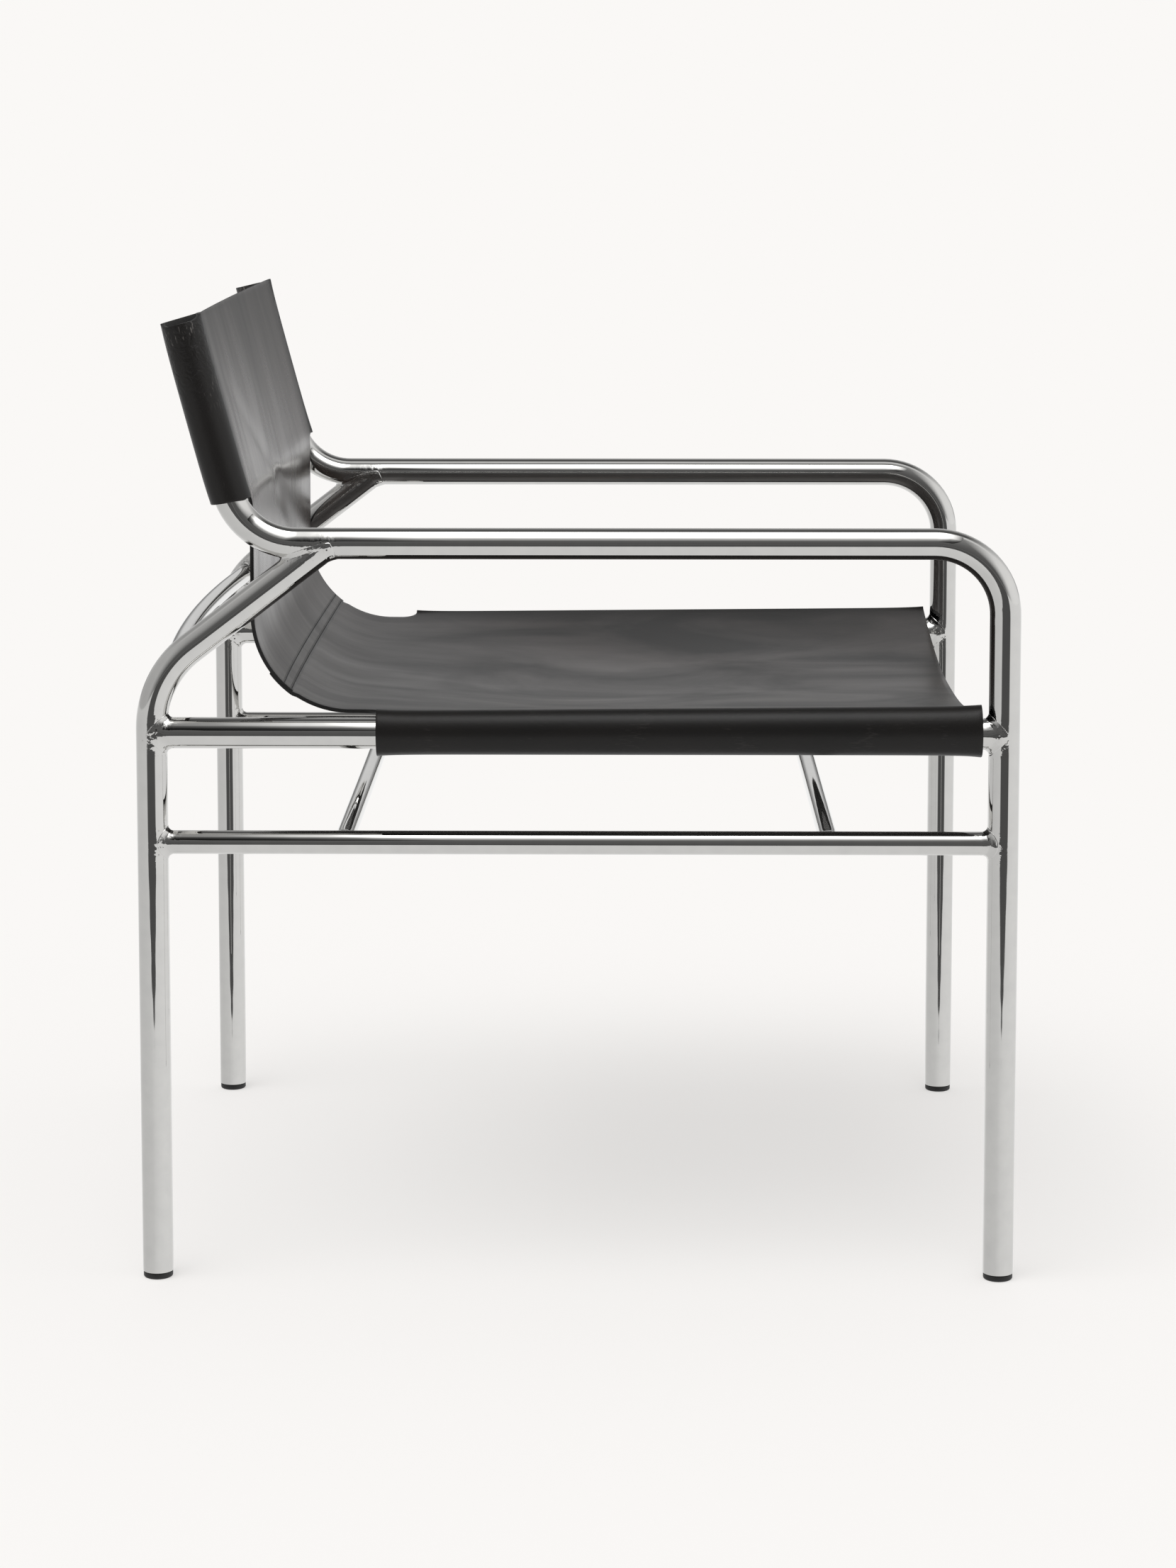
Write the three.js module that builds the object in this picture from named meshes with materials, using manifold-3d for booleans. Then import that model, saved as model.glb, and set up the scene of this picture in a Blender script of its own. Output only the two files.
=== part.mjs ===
// A low lounge armchair. Two side frames of bent steel tube stand on four legs and are joined by
// a bowed back bar and two cross tubes. A two-piece leather sling hangs between them, with
// sleeves that close round the seat rails and round the uprights.
// Units are millimetres and +Z is up. The chair faces -Y, +X is the sitter's left, and the
// origin lies on the floor under the middle of the legs.

import * as THREE from "three";
import { mergeVertices } from "three/addons/utils/BufferGeometryUtils.js";
import Module from "manifold-3d";

const wasm = await Module();
wasm.setup();

// Layout of the frame, measured to the centre lines of its tubes. "Forward" is always counted
// from the rear legs, and a rise or drop from the seat rails.
const frameSpacing = 575;
const legSpacing = 683;
const seatRailHeight = 448;
const armRise = 153;
const kneeRise = 44;
const lowerRailDrop = 89;
const braceRiseDegrees = 37.5;
const uprightLeanDegrees = 15;
const uprightForward = 74;
const uprightStraight = 135.4;
const rearCrossTubeForward = 153;
const frontCrossTubeSetback = 139;
const backBarBow = 12;
const backBarBendShare = 0.756;

// Tube sizes
const mainTubeDiameter = 25;
const mainTubeWall = 2;
const lowerRailDiameter = 19;
const lowerRailWall = 1.5;
const crossTubeDiameter = 16;
const crossTubeWall = 1.5;

// Bend radii, to the centre line
const frontBendRadius = 57;
const uprightBendRadius = 57;
const braceBendRadius = 82;

// Joints between tubes: the gap left at a coped end, and the weld beads round it
const seatGap = 0.3;
const mainBeadRadius = 3.4;
const smallBeadRadius = 2.6;

// Feet and end plugs
const footHeight = 5;
const footInset = 0.6;
const footEdgeRadius = 1.6;
const footStemLength = 20;
const stemChamfer = 1.5;
const plugCrown = 1.6;
const plugRim = 1;
const plugStemLength = 14;

// Leather, and the clearances that its sleeves have round their tubes
const leatherThickness = 3;
const backSleeveOverEnd = 6;
const backSleeveOverBend = 9.6;
const backSleeveFrontClearance = 1.1;
const backSleeveRearClearance = 0.9;
const seatSleeveSetback = 23.1;
const seatSleeveFrontGap = 6;
const seatSleeveRearClearance = 2.8;
const seatSleeveFrontClearance = 7.1;
const seatSleeveUnderClearance = 1.7;
const sleeveSideClearance = 1;
const hemReach = 46;
const hemStitchSetback = 7;
const seatSag = 31;
const lowerBackSag = 9;
const topSag = 5;
const sagRunIn = 190;
const hollowRadius = 75;
const backFoldSetback = 5;
const backFoldRadius = 36;
const freeEdgeInset = 20;
const seamRise = 36;
const lapLength = 22;
const lapEdgeMargin = 2.2;
const lapRamp = 6;

// Thread
const threadDiameter = 1;
const seamRowSpacing = 7.6;

// Faceting
const tubeSides = 20;
const smallTubeSides = 16;
const bendStepDegrees = 10;
const bowSteps = 8;
const beadSides = 6;
const beadSteps = 16;
const turnedSides = 20;
const roundingSteps = 3;
const sleeveCurveSteps = 8;
const sheetWidthSteps = 10;
const backSteps = 2;
const hollowSteps = 4;
const rampSteps = 2;
const seatSteps = 7;
const threadSides = 6;
const threadSteps = 12;
const weldTolerance = 1e-4;

// How far a cutting solid runs past what it cuts, how far the sheet runs into a sleeve's hem,
// and how far the faces and ends of the two are offset there
const overrun = 2;
const plyOverlap = 5;
const plyStep = 0.25;

// Shares that shape a curve, each of the size named beside it
const hemTurnShare = 0.36; // of the hem's reach, where the flap starts to rise
const hemRiseShare = 0.6; // of the hem's reach, where it nears the sheet

const mainRadius = mainTubeDiameter / 2;
const mainBoreRadius = mainRadius - mainTubeWall;
const lowerRailRadius = lowerRailDiameter / 2;
const crossTubeRadius = crossTubeDiameter / 2;
const halfSpacing = frameSpacing / 2;
const armHeight = seatRailHeight + armRise;
const kneeHeight = seatRailHeight + kneeRise;
const lowerRailHeight = seatRailHeight - lowerRailDrop;
const seamHeight = seatRailHeight + seamRise;
const lean = THREE.MathUtils.degToRad(uprightLeanDegrees);
const braceRise = THREE.MathUtils.degToRad(braceRiseDegrees);
const bendStep = THREE.MathUtils.degToRad(bendStepDegrees);
const legFootHeight = footHeight + seatGap;
const seatSleeveFrontEnd = legSpacing - mainRadius - seatSleeveFrontGap;
const backSleeveLength = backSleeveOverEnd + uprightStraight + backSleeveOverBend;
const sleeveWall = mainRadius + leatherThickness;
const backSleeveFrontRise = sleeveWall + backSleeveFrontClearance;
const backSleeveRearDrop = sleeveWall + backSleeveRearClearance;
const seatSleeveRearRise = sleeveWall + seatSleeveRearClearance;
const seatSleeveFrontRise = sleeveWall + seatSleeveFrontClearance;
const seatSleeveDrop = sleeveWall + seatSleeveUnderClearance;

const chrome = { color: 0xd9dadb, metalness: 1, roughness: 0.08 };
const blackLeather = { color: 0x2b2a29, metalness: 0, roughness: 0.55 };
const blackPlastic = { color: 0x1b1b1b, metalness: 0, roughness: 0.5 };
const blackThread = { color: 0x161616, metalness: 0, roughness: 0.8 };

// A point given by how far it is forward of the rear legs, its height, and its place across.
function place(forward, height, across = 0) {
  return new THREE.Vector3(across, legSpacing / 2 - forward, height);
}

// A path of straight runs joined by round bends. Extrusions along it take one ring at each end
// of a run and evenly turned rings round each bend.
class BentPath extends THREE.Curve {
  constructor(corners, radii) {
    super();
    this.corners = corners;
    this.radii = radii;
    this.pieces = [];
    let from = corners[0];
    for (let i = 1; i < corners.length - 1; i += 1) {
      const arriving = corners[i].clone().sub(corners[i - 1]).normalize();
      const leaving = corners[i + 1].clone().sub(corners[i]).normalize();
      const turn = arriving.angleTo(leaving);
      const cutBack = radii[i - 1] * Math.tan(turn / 2);
      const start = corners[i].clone().addScaledVector(arriving, -cutBack);
      const axis = arriving.clone().cross(leaving).normalize();
      const toCentre = axis.clone().cross(arriving);
      const centre = start.clone().addScaledVector(toCentre, radii[i - 1]);
      this.addRun(from, start);
      this.addBend(start, centre, axis, turn, arriving);
      from = corners[i].clone().addScaledVector(leaving, cutBack);
    }
    this.addRun(from, corners.at(-1));
    this.total = this.pieces.reduce((sum, piece) => sum + piece.length, 0);
    this.stops = this.findStops();
  }

  addRun(from, to) {
    const along = to.clone().sub(from);
    const length = along.length();
    along.normalize();
    const at = (distance) => ({
      point: from.clone().addScaledVector(along, distance),
      tangent: along.clone(),
    });
    this.pieces.push({ length, at, divisions: 1 });
  }

  addBend(start, centre, axis, turn, arriving) {
    const spoke = start.clone().sub(centre);
    const radius = spoke.length();
    const at = (distance) => {
      const angle = distance / radius;
      return {
        point: centre.clone().add(spoke.clone().applyAxisAngle(axis, angle)),
        tangent: arriving.clone().applyAxisAngle(axis, angle),
      };
    };
    const divisions = Math.max(2, Math.round(turn / bendStep));
    this.pieces.push({ length: turn * radius, at, divisions, bend: true });
  }

  findStops() {
    const stops = [];
    let before = 0;
    for (const piece of this.pieces) {
      for (let i = 0; i < piece.divisions; i += 1) {
        stops.push(before + (piece.length * i) / piece.divisions);
      }
      before += piece.length;
    }
    stops.push(this.total);
    return stops;
  }

  // The point and direction at a distance along the path, which runs on straight past its ends.
  sample(distance) {
    let left = distance;
    for (const piece of this.pieces.slice(0, -1)) {
      if (left <= piece.length) return piece.at(left);
      left -= piece.length;
    }
    return this.pieces.at(-1).at(left);
  }

  // The same path with both of its ends moved outwards.
  extended(distance) {
    const ends = [this.sample(0), this.sample(this.total)];
    const first = ends[0].point.addScaledVector(ends[0].tangent, -distance);
    const last = ends[1].point.addScaledVector(ends[1].tangent, distance);
    return new BentPath([first, ...this.corners.slice(1, -1), last], this.radii);
  }

  // The distance at which the bend with this number starts, and its length.
  bendSpan(number) {
    const index = this.pieces.indexOf(this.pieces.filter((piece) => piece.bend)[number]);
    const start = this.pieces.slice(0, index).reduce((sum, piece) => sum + piece.length, 0);
    return { start, length: this.pieces[index].length };
  }

  getPointAt(share) {
    return this.sample(this.stops[Math.round(share * (this.stops.length - 1))]).point;
  }

  getTangentAt(share) {
    return this.sample(this.stops[Math.round(share * (this.stops.length - 1))]).tangent;
  }
}

// A gently bowed path between two points, on a parabola whose middle is moved by "bow".
class BowedPath extends THREE.Curve {
  constructor(from, to, bow) {
    super();
    this.from = from;
    this.to = to;
    this.bow = bow;
    this.stops = new Array(bowSteps + 1);
  }

  // Both ends lie within the tubes that they meet, so a bore needs no more length.
  extended() {
    return this;
  }

  getPoint(share) {
    const point = this.from.clone().lerp(this.to, share);
    return point.addScaledVector(this.bow, 4 * share * (1 - share));
  }

  getPointAt(share) {
    return this.getPoint(share);
  }

  getTangentAt(share) {
    const along = this.to.clone().sub(this.from);
    return along.addScaledVector(this.bow, 4 - 8 * share).normalize();
  }
}

// Closed solids for joining and cutting, and the way back to a geometry.
function solidOf(geometry) {
  const bare = geometry.clone();
  bare.deleteAttribute("normal");
  bare.deleteAttribute("uv");
  const merged = mergeVertices(bare, weldTolerance);
  return new wasm.Manifold(
    new wasm.Mesh({
      numProp: 3,
      vertProperties: merged.attributes.position.array,
      triVerts: new Uint32Array(merged.index.array),
    }),
  );
}

function geometryOf(solid) {
  const mesh = solid.getMesh();
  const geometry = new THREE.BufferGeometry();
  geometry.setAttribute("position", new THREE.BufferAttribute(mesh.vertProperties, mesh.numProp));
  geometry.setIndex(new THREE.BufferAttribute(mesh.triVerts, 1));
  geometry.computeVertexNormals();
  return geometry;
}

// A round bar along a path.
function barAlong(path, radius, sides) {
  const section = new THREE.Shape().absarc(0, 0, radius, 0, 2 * Math.PI);
  const steps = path.stops.length - 1;
  return solidOf(
    new THREE.ExtrudeGeometry(section, { extrudePath: path, steps, curveSegments: sides / 2 }),
  );
}

function straightPath(from, to) {
  return new BentPath([from, to], []);
}

// A tube along a path, with beads welded to its ends, its bore cleared and its ends coped to fit
// the members it meets.
function fittedTube({ path, radius, wall, sides, beads = [], hosts = [] }) {
  let tube = barAlong(path, radius, sides);
  for (const bead of beads) tube = tube.add(bead);
  tube = tube.subtract(barAlong(path.extended(overrun), radius - wall, sides));
  for (const host of hosts) tube = tube.subtract(host);
  return geometryOf(tube);
}

// The weld bead round a tube that meets a host tube: a ring of round section that follows the
// saddle where the two surfaces cross. "end" is where the centre lines cross, "away" points
// along the tube and "hostAxis" along the host.
function weldBead({ end, away, hostAxis, radius, hostRadius, beadRadius }) {
  const lengthwise = hostAxis.clone().addScaledVector(away, -hostAxis.dot(away)).normalize();
  const sideways = away.clone().cross(lengthwise);
  const sine = hostAxis.clone().cross(away).length();
  const cosine = hostAxis.dot(away);
  const ring = new THREE.TorusGeometry(radius, beadRadius, beadSides, beadSteps);
  const spots = ring.attributes.position;
  const spot = new THREE.Vector3();
  for (let i = 0; i < spots.count; i += 1) {
    spot.fromBufferAttribute(spots, i);
    const angle = Math.atan2(spot.y, spot.x);
    const offSide = radius * Math.sin(angle);
    const reach = Math.sqrt(Math.max(0, hostRadius ** 2 - offSide ** 2));
    spot.z += (reach + radius * Math.cos(angle) * cosine) / sine;
    spots.setXYZ(i, spot.x, spot.y, spot.z);
  }
  const turn = new THREE.Matrix4().makeBasis(lengthwise, sideways, away).setPosition(end);
  return solidOf(ring.applyMatrix4(turn));
}

// A side frame lies in its own plane, across = 0.
const armEnd = place(legSpacing, armHeight);
const uprightCorner = place(uprightForward, armHeight);
const uprightAxis = place(-Math.sin(lean), Math.cos(lean)).sub(place(0, 0));
const uprightBendCutBack = uprightBendRadius * Math.tan((Math.PI / 2 - lean) / 2);
const uprightEnd = uprightCorner
  .clone()
  .addScaledVector(uprightAxis, uprightBendCutBack + uprightStraight);
const knee = place(0, kneeHeight);
const braceForward = (armHeight - kneeHeight) / Math.tan(braceRise);
const braceEnd = place(braceForward, armHeight);

const frontTubePath = new BentPath(
  [place(legSpacing, legFootHeight), armEnd, uprightCorner, uprightEnd],
  [frontBendRadius, uprightBendRadius],
);
const rearTubePath = new BentPath(
  [place(0, legFootHeight), knee, braceEnd],
  [braceBendRadius],
);

const frontTubeClearance = barAlong(frontTubePath, mainRadius + seatGap, tubeSides);
const rearTubeClearance = barAlong(rearTubePath, mainRadius + seatGap, tubeSides);

function frontTube() {
  const radius = mainRadius;
  return fittedTube({ path: frontTubePath, radius, wall: mainTubeWall, sides: tubeSides });
}

function rearTube() {
  const bead = weldBead({
    end: braceEnd,
    away: knee.clone().sub(braceEnd).normalize(),
    hostAxis: uprightCorner.clone().sub(armEnd).normalize(),
    radius: mainRadius,
    hostRadius: mainRadius,
    beadRadius: mainBeadRadius,
  });
  return fittedTube({
    path: rearTubePath,
    radius: mainRadius,
    wall: mainTubeWall,
    sides: tubeSides,
    beads: [bead],
    hosts: [frontTubeClearance],
  });
}

// A rail runs level from the rear leg to the front leg and is welded to both.
function sideRail(height, radius, wall, sides, beadRadius) {
  const rearEnd = place(0, height);
  const frontEnd = place(legSpacing, height);
  const forward = frontEnd.clone().sub(rearEnd).normalize();
  const hostAxis = new THREE.Vector3(0, 0, 1);
  const shared = { hostAxis, radius, hostRadius: mainRadius, beadRadius };
  return fittedTube({
    path: straightPath(rearEnd, frontEnd),
    radius,
    wall,
    sides,
    beads: [
      weldBead({ end: rearEnd, away: forward, ...shared }),
      weldBead({ end: frontEnd, away: forward.clone().negate(), ...shared }),
    ],
    hosts: [rearTubeClearance, frontTubeClearance],
  });
}

// Cross tubes run between the two lower rails, under the seat.
function crossTube(forward) {
  const ends = [-1, 1].map((side) => place(forward, lowerRailHeight, side * halfSpacing));
  const across = ends[1].clone().sub(ends[0]).normalize();
  const railAxis = new THREE.Vector3(0, 1, 0);
  const shared = {
    hostAxis: railAxis,
    radius: crossTubeRadius,
    hostRadius: lowerRailRadius,
    beadRadius: smallBeadRadius,
  };
  const rails = ends.map(({ x }) => {
    const path = straightPath(place(0, lowerRailHeight, x), place(legSpacing, lowerRailHeight, x));
    return barAlong(path, lowerRailRadius + seatGap, smallTubeSides);
  });
  return fittedTube({
    path: straightPath(ends[0], ends[1]),
    radius: crossTubeRadius,
    wall: crossTubeWall,
    sides: smallTubeSides,
    beads: [
      weldBead({ end: ends[0], away: across, ...shared }),
      weldBead({ end: ends[1], away: across.clone().negate(), ...shared }),
    ],
    hosts: rails,
  });
}

// The back bar joins the bends of the two rear tubes and bows to the rear.
function backBar() {
  const bend = rearTubePath.bendSpan(0);
  const onBend = rearTubePath.sample(bend.start + bend.length * backBarBendShare);
  const ends = [-1, 1].map((side) => onBend.point.clone().setX(side * halfSpacing));
  const path = new BowedPath(ends[0], ends[1], new THREE.Vector3(0, backBarBow, 0));
  const shared = {
    hostAxis: onBend.tangent,
    radius: crossTubeRadius,
    hostRadius: mainRadius,
    beadRadius: smallBeadRadius,
  };
  return fittedTube({
    path,
    radius: crossTubeRadius,
    wall: crossTubeWall,
    sides: smallTubeSides,
    beads: [
      weldBead({ end: ends[0], away: path.getTangentAt(0), ...shared }),
      weldBead({ end: ends[1], away: path.getTangentAt(1).negate(), ...shared }),
    ],
    hosts: [-1, 1].map((side) => rearTubeClearance.translate(side * halfSpacing, 0, 0)),
  });
}

// A turned piece from a profile of radius and height, stood upright on its own origin.
function turned(profile) {
  return new THREE.LatheGeometry(profile, turnedSides).rotateX(Math.PI / 2);
}

function quarterRound(centreRadius, centreHeight, radius, fromAngle) {
  return Array.from({ length: roundingSteps + 1 }, (unused, i) => {
    const angle = fromAngle + (Math.PI / 2) * (i / roundingSteps);
    return new THREE.Vector2(
      centreRadius + radius * Math.cos(angle),
      centreHeight + radius * Math.sin(angle),
    );
  });
}

// A plastic foot: a rounded pad under the tube's end, and a stem up its bore.
function foot() {
  const padRadius = mainRadius - footInset;
  const stemRadius = mainBoreRadius - seatGap;
  const stemTop = footHeight + footStemLength;
  const edge = quarterRound(padRadius - footEdgeRadius, footEdgeRadius, footEdgeRadius, -Math.PI / 2);
  return turned([
    new THREE.Vector2(0, 0),
    ...edge,
    new THREE.Vector2(padRadius, footHeight),
    new THREE.Vector2(stemRadius, footHeight),
    new THREE.Vector2(stemRadius, stemTop - stemChamfer),
    new THREE.Vector2(stemRadius - stemChamfer, stemTop),
    new THREE.Vector2(0, stemTop),
  ]);
}

// A plug in the open end of an upright, with its rim on the tube's edge. Its origin is the
// middle of the tube's end, and +Z points out of the tube.
function endPlug() {
  const rimRadius = mainRadius - plugRim;
  const stemRadius = mainBoreRadius - seatGap;
  return turned([
    new THREE.Vector2(0, -plugStemLength),
    new THREE.Vector2(stemRadius - stemChamfer, -plugStemLength),
    new THREE.Vector2(stemRadius, stemChamfer - plugStemLength),
    new THREE.Vector2(stemRadius, seatGap),
    new THREE.Vector2(rimRadius, seatGap),
    new THREE.Vector2(rimRadius, seatGap + plugRim),
    new THREE.Vector2(stemRadius - plugRim, seatGap + plugCrown),
    new THREE.Vector2(0, seatGap + plugCrown),
  ]);
}

// The sling hangs from a profile in the side view: down the front of the uprights, straight
// down past the arms, round the hollow and forward over the seat rails. Distances along it
// are counted from the top edge of the back.
const slingTop = uprightEnd.clone().addScaledVector(uprightAxis, backSleeveOverEnd);
const uprightFront = place(Math.cos(lean), Math.sin(lean)).sub(place(0, 0));
const backTopEdge = slingTop.clone().addScaledVector(uprightFront, backSleeveFrontRise);
const backFold = backTopEdge
  .clone()
  .addScaledVector(uprightAxis, -backSleeveLength - backFoldSetback);
const hollowForward = legSpacing / 2 - backFold.y;
const seatSleeveForward = hollowForward + hollowRadius + seatSleeveSetback;
const seatSlope =
  (seatSleeveFrontRise - seatSleeveRearRise) / (seatSleeveFrontEnd - seatSleeveForward);
const hollowRise = seatSleeveRearRise + seatSlope * (hollowForward - seatSleeveForward);
const slingProfile = new BentPath(
  [
    backTopEdge,
    backFold,
    place(hollowForward, seatRailHeight + hollowRise),
    place(seatSleeveFrontEnd, seatRailHeight + seatSleeveFrontRise),
  ],
  [backFoldRadius, hollowRadius],
);
const hollowSpan = slingProfile.bendSpan(1);
const hollowEnd = hollowSpan.start + hollowSpan.length;
const seatSleeveStart = slingProfile.total - (seatSleeveFrontEnd - seatSleeveForward);
const seamTurn = Math.asin(
  THREE.MathUtils.clamp(
    (slingProfile.sample(hollowSpan.start).point.z - seamHeight) / hollowRadius, 0, 1),
);
const seamStart = hollowSpan.start + seamTurn * hollowRadius;

// How far the middle of the sheet hangs behind or below its crest lines.
function sagAt(distance) {
  const toSeam = THREE.MathUtils.smoothstep(distance, 0, hollowSpan.start);
  const toSeat = THREE.MathUtils.smoothstep(distance, hollowSpan.start, hollowEnd + sagRunIn);
  return topSag + (lowerBackSag - topSag) * toSeam + (seatSag - lowerBackSag) * toSeat;
}

// Takes a spot on the flat leather to where it hangs. "lift" is its height over the sitter's
// side of the sheet, which is negative within the leather.
function hang(across, distance, lift) {
  const { point, tangent } = slingProfile.sample(distance);
  const outward = new THREE.Vector3(1, 0, 0).cross(tangent).negate();
  const fullness = Math.max(0, 1 - (across / halfSpacing) ** 2);
  return point
    .setX(across)
    .addScaledVector(outward, lift - sagAt(distance) * fullness);
}

// The edge of the sheet, as a distance inside the centre line of the side frame. Beside a
// sleeve the sheet ends within the hem. Below the back sleeves it widens to its free edges,
// which draw in again towards the seat sleeves.
const hemEdgeInset = hemReach - plyOverlap;
const hemDepth = 2 * leatherThickness + seatGap;
const shoulderStart = backSleeveLength - plyOverlap;
const shoulderEnd = backSleeveLength - plyOverlap / 2;

function edgeInsetAt(distance) {
  if (distance <= shoulderStart) return hemEdgeInset;
  const drawnIn = THREE.MathUtils.smoothstep(distance, seamStart, seatSleeveStart);
  return freeEdgeInset + (hemEdgeInset - freeEdgeInset) * drawnIn;
}

// The rows of the sheet, closer together where it folds, laps or widens.
function evenStops(from, to, steps) {
  return Array.from({ length: steps }, (unused, i) => from + ((to - from) * i) / steps);
}

const lapEnd = seamStart + seamRowSpacing / 2 + lapEdgeMargin;
const lapStart = lapEnd - lapLength;
const foldSpan = slingProfile.bendSpan(0);
const slingRows = [
  ...evenStops(0, shoulderStart, backSteps),
  shoulderStart,
  shoulderEnd,
  backSleeveLength,
  foldSpan.start + foldSpan.length / 2,
  foldSpan.start + foldSpan.length,
  ...evenStops(hollowSpan.start, lapStart, hollowSteps),
  lapStart,
  seamStart - seamRowSpacing / 2,
  seamStart + seamRowSpacing / 2,
  ...evenStops(lapEnd, lapEnd + lapRamp, rampSteps),
  ...evenStops(lapEnd + lapRamp, seatSleeveStart, hollowSteps),
  ...evenStops(seatSleeveStart, slingProfile.total, seatSteps),
  slingProfile.total,
].sort((one, other) => one - other);

function rowsBetween(from, to) {
  return slingRows.filter((row) => row >= from && row <= to);
}

// A length of the sheet, cut flat and hung. "dropAt" sets it back where it laps under its
// neighbour.
function sheet(from, to, dropAt) {
  const rows = rowsBetween(from, to);
  const flat = new THREE.BoxGeometry(
    frameSpacing, rows.length - 1, leatherThickness, sheetWidthSteps, rows.length - 1, 1);
  const spots = flat.attributes.position;
  const spot = new THREE.Vector3();
  for (let i = 0; i < spots.count; i += 1) {
    spot.fromBufferAttribute(spots, i);
    const distance = rows[Math.round((rows.length - 1) / 2 - spot.y)];
    const across = spot.x * (1 - edgeInsetAt(distance) / halfSpacing);
    const lift = spot.z - leatherThickness / 2 - plyStep - dropAt(distance);
    spot.copy(hang(across, distance, lift));
    spots.setXYZ(i, spot.x, spot.y, spot.z);
  }
  return solidOf(flat);
}

// The section of a sleeve, drawn flat: the sheet runs over the tube, round its outer side and
// back under it to a hem against the sheet. Right of zero is towards the middle of the chair,
// and zero height is the sitter's side of the sheet.
function sleeveSection(depth) {
  const middle = -depth / 2;
  const side = sleeveWall + sleeveSideClearance;
  const hemFace = -hemDepth;
  const turn = hemReach * hemTurnShare;
  const rise = hemReach * hemRiseShare;
  const meet = hemReach - hemStitchSetback;
  const section = new THREE.Shape();
  section.moveTo(hemReach, 0);
  section.lineTo(0, 0);
  section.absellipse(0, middle, side, depth / 2, Math.PI / 2, 1.5 * Math.PI, false);
  section.bezierCurveTo(turn, -depth, rise, hemFace, meet, hemFace);
  section.lineTo(hemReach, hemFace);
  section.closePath();

  const boreSide = side - leatherThickness;
  const boreDepth = depth / 2 - leatherThickness;
  const boreFloor = leatherThickness - depth;
  const meetFace = -leatherThickness - seatGap;
  const bore = new THREE.Path();
  bore.moveTo(meet, -leatherThickness);
  bore.lineTo(0, -leatherThickness);
  bore.absellipse(0, middle, boreSide, boreDepth, Math.PI / 2, 1.5 * Math.PI, false);
  bore.bezierCurveTo(turn, boreFloor, rise, meetFace, meet, meetFace);
  bore.closePath();
  section.holes.push(bore);
  return section;
}

// A sleeve on one side of the chair, hung with the sheet. "depthAt" gives its outer depth, and
// the hem keeps its own where that changes.
function sleeve(side, from, to, depthAt) {
  const flatDepth = depthAt(from);
  const rows = [from + plyStep, ...rowsBetween(from, to).slice(1, -1), to - plyStep];
  const flat = new THREE.ExtrudeGeometry(sleeveSection(flatDepth), {
    depth: rows.length - 1,
    steps: rows.length - 1,
    curveSegments: sleeveCurveSteps,
    bevelEnabled: false,
  });
  const spots = flat.attributes.position;
  const spot = new THREE.Vector3();
  for (let i = 0; i < spots.count; i += 1) {
    spot.fromBufferAttribute(spots, i);
    const row = Math.round(spot.z);
    const distance = side < 0 ? rows[row] : rows.at(-1 - row);
    const deepening = (depthAt(distance) - flatDepth) / (flatDepth - hemDepth);
    const lift = spot.y + deepening * Math.min(0, spot.y + hemDepth);
    spot.copy(hang(side * (halfSpacing - spot.x), distance, lift));
    spots.setXYZ(i, spot.x, spot.y, spot.z);
  }
  return solidOf(flat);
}

function backSling() {
  const depth = backSleeveFrontRise + backSleeveRearDrop;
  let panel = sheet(0, lapEnd, () => 0);
  for (const side of [-1, 1]) {
    panel = panel.add(sleeve(side, 0, backSleeveLength, () => depth));
  }
  return geometryOf(panel);
}

function seatSleeveDepthAt(distance) {
  const along = (distance - seatSleeveStart) / (slingProfile.total - seatSleeveStart);
  return THREE.MathUtils.lerp(seatSleeveRearRise, seatSleeveFrontRise, along) + seatSleeveDrop;
}

function lapDropAt(distance) {
  const under = 1 - THREE.MathUtils.smoothstep(distance, lapEnd, lapEnd + lapRamp);
  return under * (leatherThickness + seatGap);
}

function seatSling() {
  let panel = sheet(lapStart, slingProfile.total, lapDropAt);
  for (const side of [-1, 1]) {
    panel = panel.add(sleeve(side, seatSleeveStart, slingProfile.total, seatSleeveDepthAt));
  }
  return geometryOf(panel);
}

// A row of thread that lies on the leather between two spots on the flat.
class ThreadPath extends THREE.Curve {
  constructor(from, to, lift) {
    super();
    this.from = from;
    this.to = to;
    this.lift = lift;
    this.stops = new Array(threadSteps + 1);
  }

  getPoint(share) {
    const across = THREE.MathUtils.lerp(this.from.x, this.to.x, share);
    const distance = THREE.MathUtils.lerp(this.from.y, this.to.y, share);
    return hang(across, distance, this.lift);
  }

  getPointAt(share) {
    return this.getPoint(share);
  }

  getTangentAt(share) {
    return this.getTangent(share);
  }
}

function threadRow(from, to, lift) {
  const path = new ThreadPath(from, to, lift);
  return geometryOf(barAlong(path, threadDiameter / 2, threadSides));
}

// The two rows of the lap seam lie on the sitter's side and stop short of the free edges.
function seamThread(offset) {
  const distance = seamStart + offset;
  const end = halfSpacing - freeEdgeInset - leatherThickness;
  const lift = threadDiameter / 2 + seatGap;
  return threadRow(new THREE.Vector2(-end, distance), new THREE.Vector2(end, distance), lift);
}

// The row that closes a sleeve's hem lies under the flap.
function hemThread(side, from, to) {
  const across = side * (halfSpacing - hemReach + hemStitchSetback / 2);
  const lift = -hemDepth - seatGap - threadDiameter / 2;
  return threadRow(
    new THREE.Vector2(across, from + leatherThickness),
    new THREE.Vector2(across, to - leatherThickness),
    lift,
  );
}

function addMesh(group, name, geometry, finish) {
  const mesh = new THREE.Mesh(geometry, new THREE.MeshStandardMaterial(finish));
  mesh.name = name;
  group.add(mesh);
  return mesh;
}

const chair = new THREE.Group();

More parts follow.
